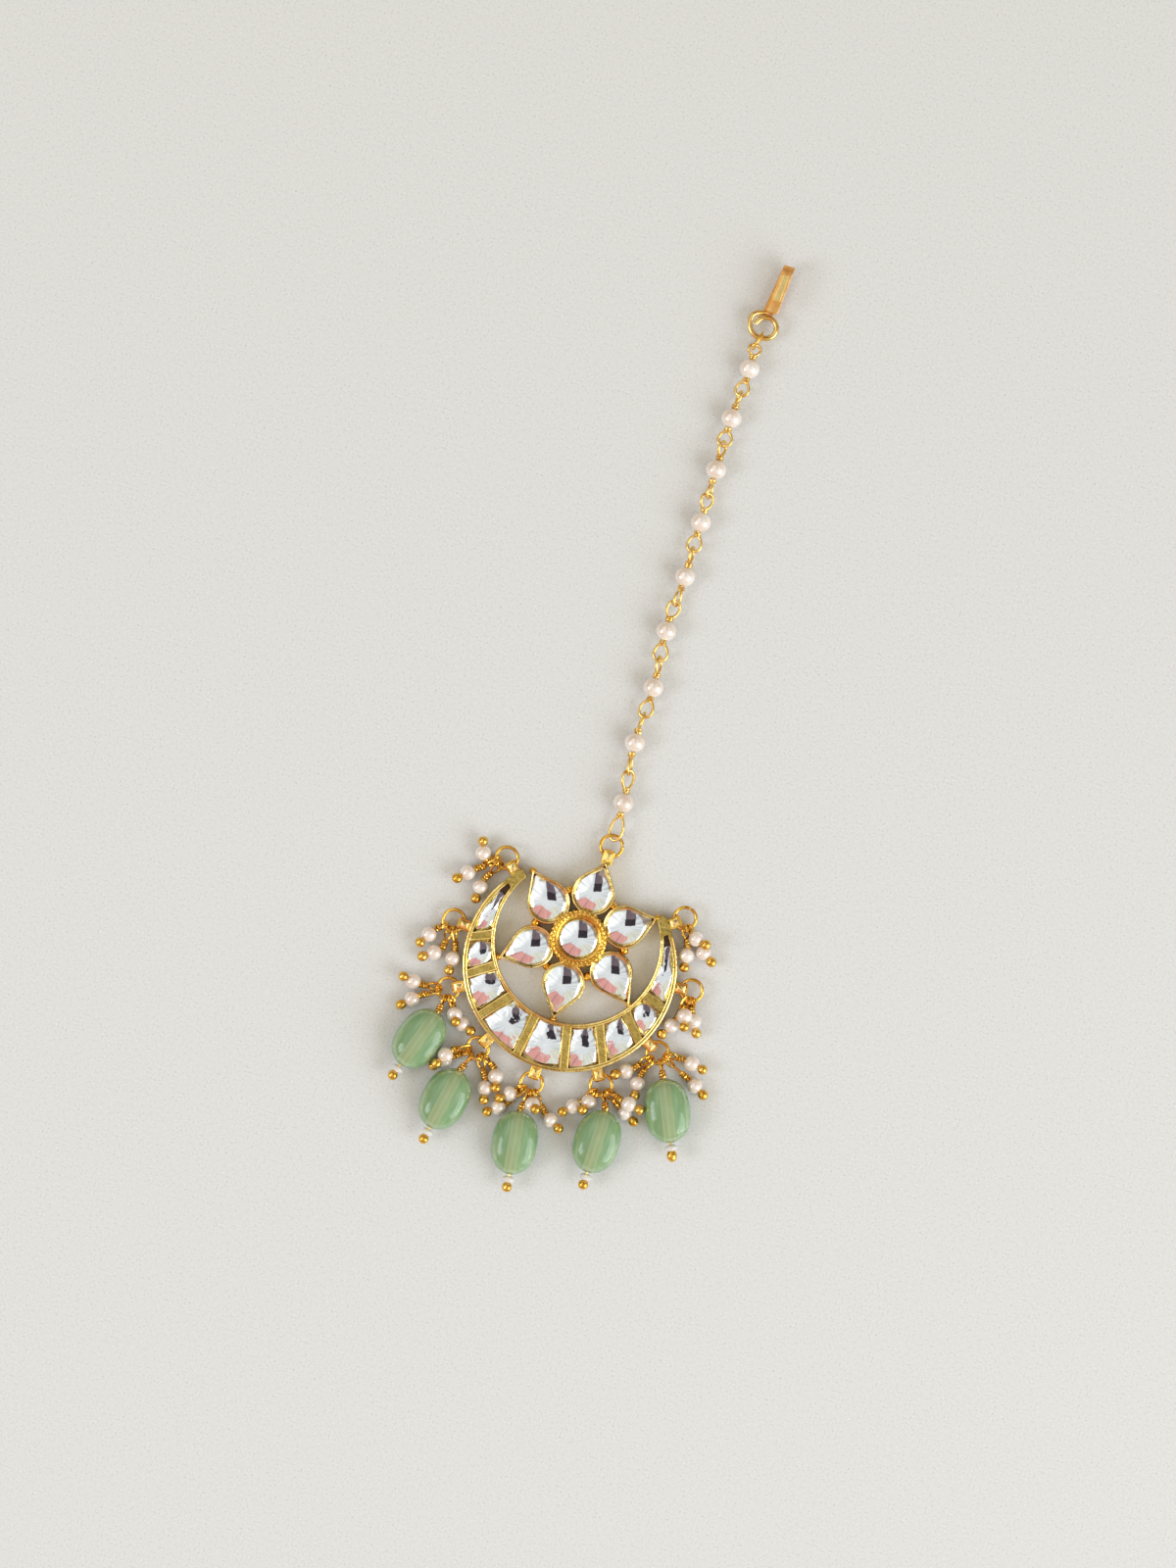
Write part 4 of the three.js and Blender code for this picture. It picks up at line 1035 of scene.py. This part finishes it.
def chain():
    for i, here in enumerate(CHAIN_ROUTE):
        upper, lower = chain_end(i, 1), chain_end(i, -1)
        pearl_spot = Vector((*here, CHAIN_PEARL_R))
        above = Vector((*upper, CHAIN_PEARL_R))
        below = Vector((*lower, CHAIN_PEARL_R if i else RING_Z))
        axis = (above - below).normalized()
        pearls, wires = Shape(), Shape()
        lathe(pearls, ball_rows(CHAIN_PEARL_R, 22, 0.97, 0.06), pearl_spot, axis, 36)
        collar = CHAIN_PEARL_R + CHAIN_COLLAR_LENGTH
        lower_lean, upper_lean = CHAIN_LEANS[i]
        for away, far, lean in ((axis, above, upper_lean), (-axis, below, lower_lean)):
            near = pearl_spot + away * (collar - SINK)
            tube(wires, oval(near, far, CHAIN_EYE_WIDTH, lean, 36, 0.12), CHAIN_WIRE_R, 10, closed=True)
            foot = pearl_spot + away * (CHAIN_PEARL_R - 0.15)
            tube(wires, [foot, near.lerp(foot, 0.5), near + away * 0.1], EYE_WIRE_R, 8)
            wrap = helix(foot + away * 0.16, pearl_spot + away * (collar - 0.1), 0.5, 2.1, 16, i)
            tube(wires, wrap, 0.21, 8)
        pearls.piece(f"chain_link_{i + 1}_pearl", [PEARL], "pearl", f"chain_link_{i + 1}")
        wires.piece(f"chain_link_{i + 1}_wire", [GOLD_LIGHT], "gold", f"chain_link_{i + 1}")


# Hook

def hook():
    fold = FOLD_HEIGHT / 2
    above = PIGTAIL_R + PIGTAIL_WIRE_R + WIRE_GAP + ARM_LENGTH - fold
    top = Vector((PIGTAIL_CENTRE.x + FOLD_SHIFT, PIGTAIL_CENTRE.y + above, HOOK_BASE + fold))
    lower_lean = math.tan(math.radians(LOWER_ARM_LEAN))
    upper_lean = math.tan(math.radians(UPPER_ARM_LEAN))

    def placed(points):
        # The profile is drawn along the hook and upwards; each arm then swings out by its own lean.
        moved = []
        for along, up, across in points:
            share = min(1, max(0, 0.5 + up / FOLD_HEIGHT))
            swing = (fold - along) * (lower_lean + (upper_lean - lower_lean) * share)
            moved.append(top + Vector((across - swing, along, up)))
        return moved

    def side(radius):
        bend = [Vector(polar(b, radius)) for b in range(0, 181, 10)]
        straight = [fold - ARM_LENGTH * (1 - i / 12) for i in range(12)]
        upper = [Vector((x, radius)) for x in straight if x < -0.1]
        return upper + bend + [Vector((p.x, -radius)) for p in upper[::-1]]

    shape = Shape()
    outline = side(fold) + side(fold - STRIP_THICKNESS)[::-1]
    points, faces = plate([outline], -STRIP_WIDTH / 2, STRIP_WIDTH / 2, 0.12)
    # Painted shade: the faces of the lower arm, under the upper arm, take the darker gold
    deep = [3 if sum(points[k].y for k in face) < -0.3 * len(face) else 0 for face in faces]
    shape.add(placed(points), faces, deep)
    panel_end = fold - PANEL_START
    panel_foot = panel_end - PANEL_LENGTH
    border = [(panel_end, 1), (panel_end, -1), (panel_foot, -1), (panel_foot, 1)]
    frame_loop = [Vector((x, y * PANEL_WIDTH / 2)) for x, y in border]
    points, faces = plate([frame_loop, inset(frame_loop, 0.2)], fold - SINK, fold + PANEL_RISE, 0.07)
    shape.add(placed([(p.x, p.z, p.y) for p in points]), faces, 2)
    points, faces = plate([inset(frame_loop, 0.15)], fold - SINK, fold + PANEL_RISE * 0.35, 0.05)
    shape.add(placed([(p.x, p.z, p.y) for p in points]), faces, 2)

    def wound(bearing):
        spot = polar(bearing, max(PIGTAIL_R, pigtail_reach(bearing)), PIGTAIL_CENTRE)
        return Vector((spot.x, spot.y, CHAIN_PEARL_R))

    arm_end = Vector((
        top.x - ARM_LENGTH * lower_lean,
        top.y + fold - ARM_LENGTH + SINK,
        HOOK_BASE + STRIP_THICKNESS / 2))
    wire = arc(PIGTAIL_START, PIGTAIL_END, 60, wound)
    first = wire[0]
    bulge = Vector((-0.25, 0.1, 0.1))
    lead = [arm_end.lerp(first, s) + bulge * math.sin(math.pi * s) for s in (0, 0.25, 0.5, 0.75)]
    radii = [PIGTAIL_SHOWN_R] * (len(lead) + len(wire) - 2) + PIGTAIL_END_RADII
    tube(shape, lead + wire, radii, 14, look=1)
    shape.piece("hook_metal", [GOLD_SATIN, GOLD_LIGHT, GOLD_PANEL, GOLD_SHADED_ARM], "gold", "hook")
    centre = polar(HOOK_RING_BEARING, HOOK_RING_MIDDLE, PIGTAIL_CENTRE)
    height = max(CHAIN_PEARL_R, HOOK_RING_R + HOOK_RING_WIRE_R)
    along = polar(HOOK_RING_BEARING, 1)
    jump_ring("jump_ring_hook", Vector((centre.x, centre.y, height)), HOOK_RING_R, HOOK_RING_WIRE_R,
              Vector((along.x, along.y, 0)), Vector((0, 0, 1)), 60)


# Surroundings

PHOTO_TURN = math.radians(18)
MIDDLE = FLOWER + Vector((-6.58, 25.375, 0)) * MM
VIEW_HEIGHT = 0.266667
CAMERA_HEIGHT = 0.62


def seen(right, up, height):
    """A place given the way the picture lies: to its right and up it, from its middle, in metres."""
    turn = Matrix.Rotation(PHOTO_TURN, 3, "Z")
    return MIDDLE + turn @ Vector((right, up, 0)) + Vector((0, 0, height))


def camera():
    lens = bpy.data.cameras.new("camera")
    lens.sensor_fit = "VERTICAL"
    lens.angle_y = 2 * math.atan(VIEW_HEIGHT / 2 / CAMERA_HEIGHT)
    lens.clip_start = 0.01
    made = bpy.data.objects.new("camera", lens)
    made.location = seen(0, 0, CAMERA_HEIGHT)
    made.rotation_euler = (0, 0, PHOTO_TURN)
    bpy.context.scene.collection.objects.link(made)
    bpy.context.scene.camera = made


def floor():
    mesh = bpy.data.meshes.new("floor")
    corners = [seen(x, y, 0) for x, y in ((-1.5, -1.5), (1.5, -1.5), (1.5, 1.5), (-1.5, 1.5))]
    mesh.from_pydata(corners, [], [(0, 1, 2, 3)])
    made = bpy.data.objects.new("floor", mesh)
    bpy.context.scene.collection.objects.link(made)
    look, tree, shader = nodes_of("pale_surface")
    grains = ramp(tree, noise(tree, 2600, 3, 0.65), [
        (0.3, (0.51, 0.52, 0.53)), (0.43, (0.625, 0.648, 0.682)),
        (0.6, (0.650, 0.675, 0.713)), (0.7, (0.71, 0.738, 0.782))])
    paint(tree, shader, grains)
    put(shader, "Roughness", 0.6)
    bump(tree, shader, noise(tree, 1400, 4, 0.6), 0.00006)
    mesh.materials.append(look)


def card(name, corners, height, colour, strength=1.0, soft=None):
    """A flat card that only shows in reflections. soft fades it out from its middle to that distance."""
    mesh = bpy.data.meshes.new(name)
    mesh.from_pydata([seen(x, y, height) for x, y in corners], [], [tuple(range(len(corners)))])
    made = bpy.data.objects.new(name, mesh)
    bpy.context.scene.collection.objects.link(made)
    look = bpy.data.materials.new(name)
    look.use_nodes = True
    tree = look.node_tree
    tree.nodes.clear()
    light = tree.nodes.new("ShaderNodeEmission")
    put(light, "Color", (*colour, 1))
    put(light, "Strength", strength)
    last = light.outputs["Emission"]
    if soft:
        count = len(corners)
        middle = seen(sum(x for x, _ in corners) / count, sum(y for _, y in corners) / count, height)
        place = tree.nodes.new("ShaderNodeTexCoord")
        away = tree.nodes.new("ShaderNodeVectorMath")
        away.operation = "DISTANCE"
        away.inputs[1].default_value = middle
        tree.links.new(place.outputs["Object"], away.inputs[0])
        fade = tree.nodes.new("ShaderNodeMapRange")
        put(fade, "From Min", soft * 0.75)
        put(fade, "From Max", soft)
        tree.links.new(away.outputs["Value"], fade.inputs["Value"])
        clear = tree.nodes.new("ShaderNodeBsdfTransparent")
        mix = tree.nodes.new("ShaderNodeMixShader")
        tree.links.new(fade.outputs["Result"], mix.inputs["Fac"])
        tree.links.new(last, mix.inputs[1])
        tree.links.new(clear.outputs["BSDF"], mix.inputs[2])
        last = mix.outputs["Shader"]
    out = tree.nodes.new("ShaderNodeOutputMaterial")
    tree.links.new(last, out.inputs["Surface"])
    mesh.materials.append(look)
    made.visible_camera = False
    made.visible_diffuse = False
    made.visible_shadow = False
    made.visible_transmission = False


def disc(right, up, radius):
    return [(right + radius * math.cos(a), up + radius * math.sin(a)) for a in circle(32)]


def sector(up, start, end, inner, outer):
    """Part of a flat ring, from one direction to another counted from the right."""
    turns = [math.radians(start + (end - start) * i / 24) for i in range(25)]
    near = [(inner * math.cos(a), up + inner * math.sin(a)) for a in turns]
    return near + [(outer * math.cos(a), up + outer * math.sin(a)) for a in turns[::-1]]


def lamp(name, right, up, height, size, power, colour):
    light = bpy.data.lights.new(name, "AREA")
    light.shape = "DISK"
    light.size = size
    light.energy = power
    light.color = colour
    made = bpy.data.objects.new(name, light)
    made.location = seen(right, up, height)
    made.rotation_euler = (MIDDLE - made.location).to_track_quat("-Z", "Y").to_euler()
    bpy.context.scene.collection.objects.link(made)


def surroundings():
    floor()
    # The jewel lies below the picture's middle, and the cards hang over the jewel.
    low = -0.03
    card("black_card", [(-0.02, low + 0.0), (0.23, low - 0.01), (0.25, low + 0.2), (-0.01, low + 0.2)],
         0.64, (0.05, 0.04, 0.05))
    card("dark_card", [(0.0, low + 0.2), (0.27, low + 0.2), (0.34, low + 0.9), (0.02, low + 0.9)],
         0.642, (0.20, 0.15, 0.17))
    card("pink_card", [
        (-1.2, low - 0.48), (-0.55, low - 0.24), (-0.22, low - 0.13), (0.1, low - 0.37),
        (0.0, low - 0.75), (-0.42, low - 0.95), (-1.2, low - 0.9)], 0.644, (0.86, 0.42, 0.38))
    card("cream_card", [
        (0.02, low - 0.22), (0.25, low - 0.16), (0.65, low - 0.45),
        (0.5, low - 0.9), (0.05, low - 0.85)], 0.646, (0.83, 0.83, 0.72))
    card("bright_card", disc(-0.5, low + 0.42, 0.5), 0.7, (0.98, 0.99, 1.0), 1.25, 0.5)
    card("ceiling", disc(0.0, low, 1.0), 0.8, (0.95, 0.98, 1.0), 0.9, 1.0)
    card("wall_right", sector(low, 2, 76, 0.46, 3), 0.5, (0.52, 0.40, 0.33), 0.85)
    card("wall_above", sector(low, 76, 172, 0.72, 3), 0.5, (0.44, 0.32, 0.23), 0.85)
    card("wall_below", sector(low, 212, 304, 0.75, 3), 0.5, (0.56, 0.45, 0.38), 0.85)
    lamp("key_light", 1.02, -0.68, 0.72, 1.25, 15.8, (0.90, 0.96, 1.0))
    lamp("left_light", -1.0, -0.22, 0.76, 0.62, 5.2, (0.90, 0.94, 1.0))
    world = bpy.data.worlds.new("studio")
    bpy.context.scene.world = world
    world.use_nodes = True
    world.node_tree.nodes["Background"].inputs["Color"].default_value = (1.0, 0.87, 0.66, 1)
    world.node_tree.nodes["Background"].inputs["Strength"].default_value = 0.67
    bpy.context.scene.view_settings.view_transform = "Standard"


camera()
surroundings()
setting()
stones()
jump_rings()
drops()
green_beads()
chain()
hook()
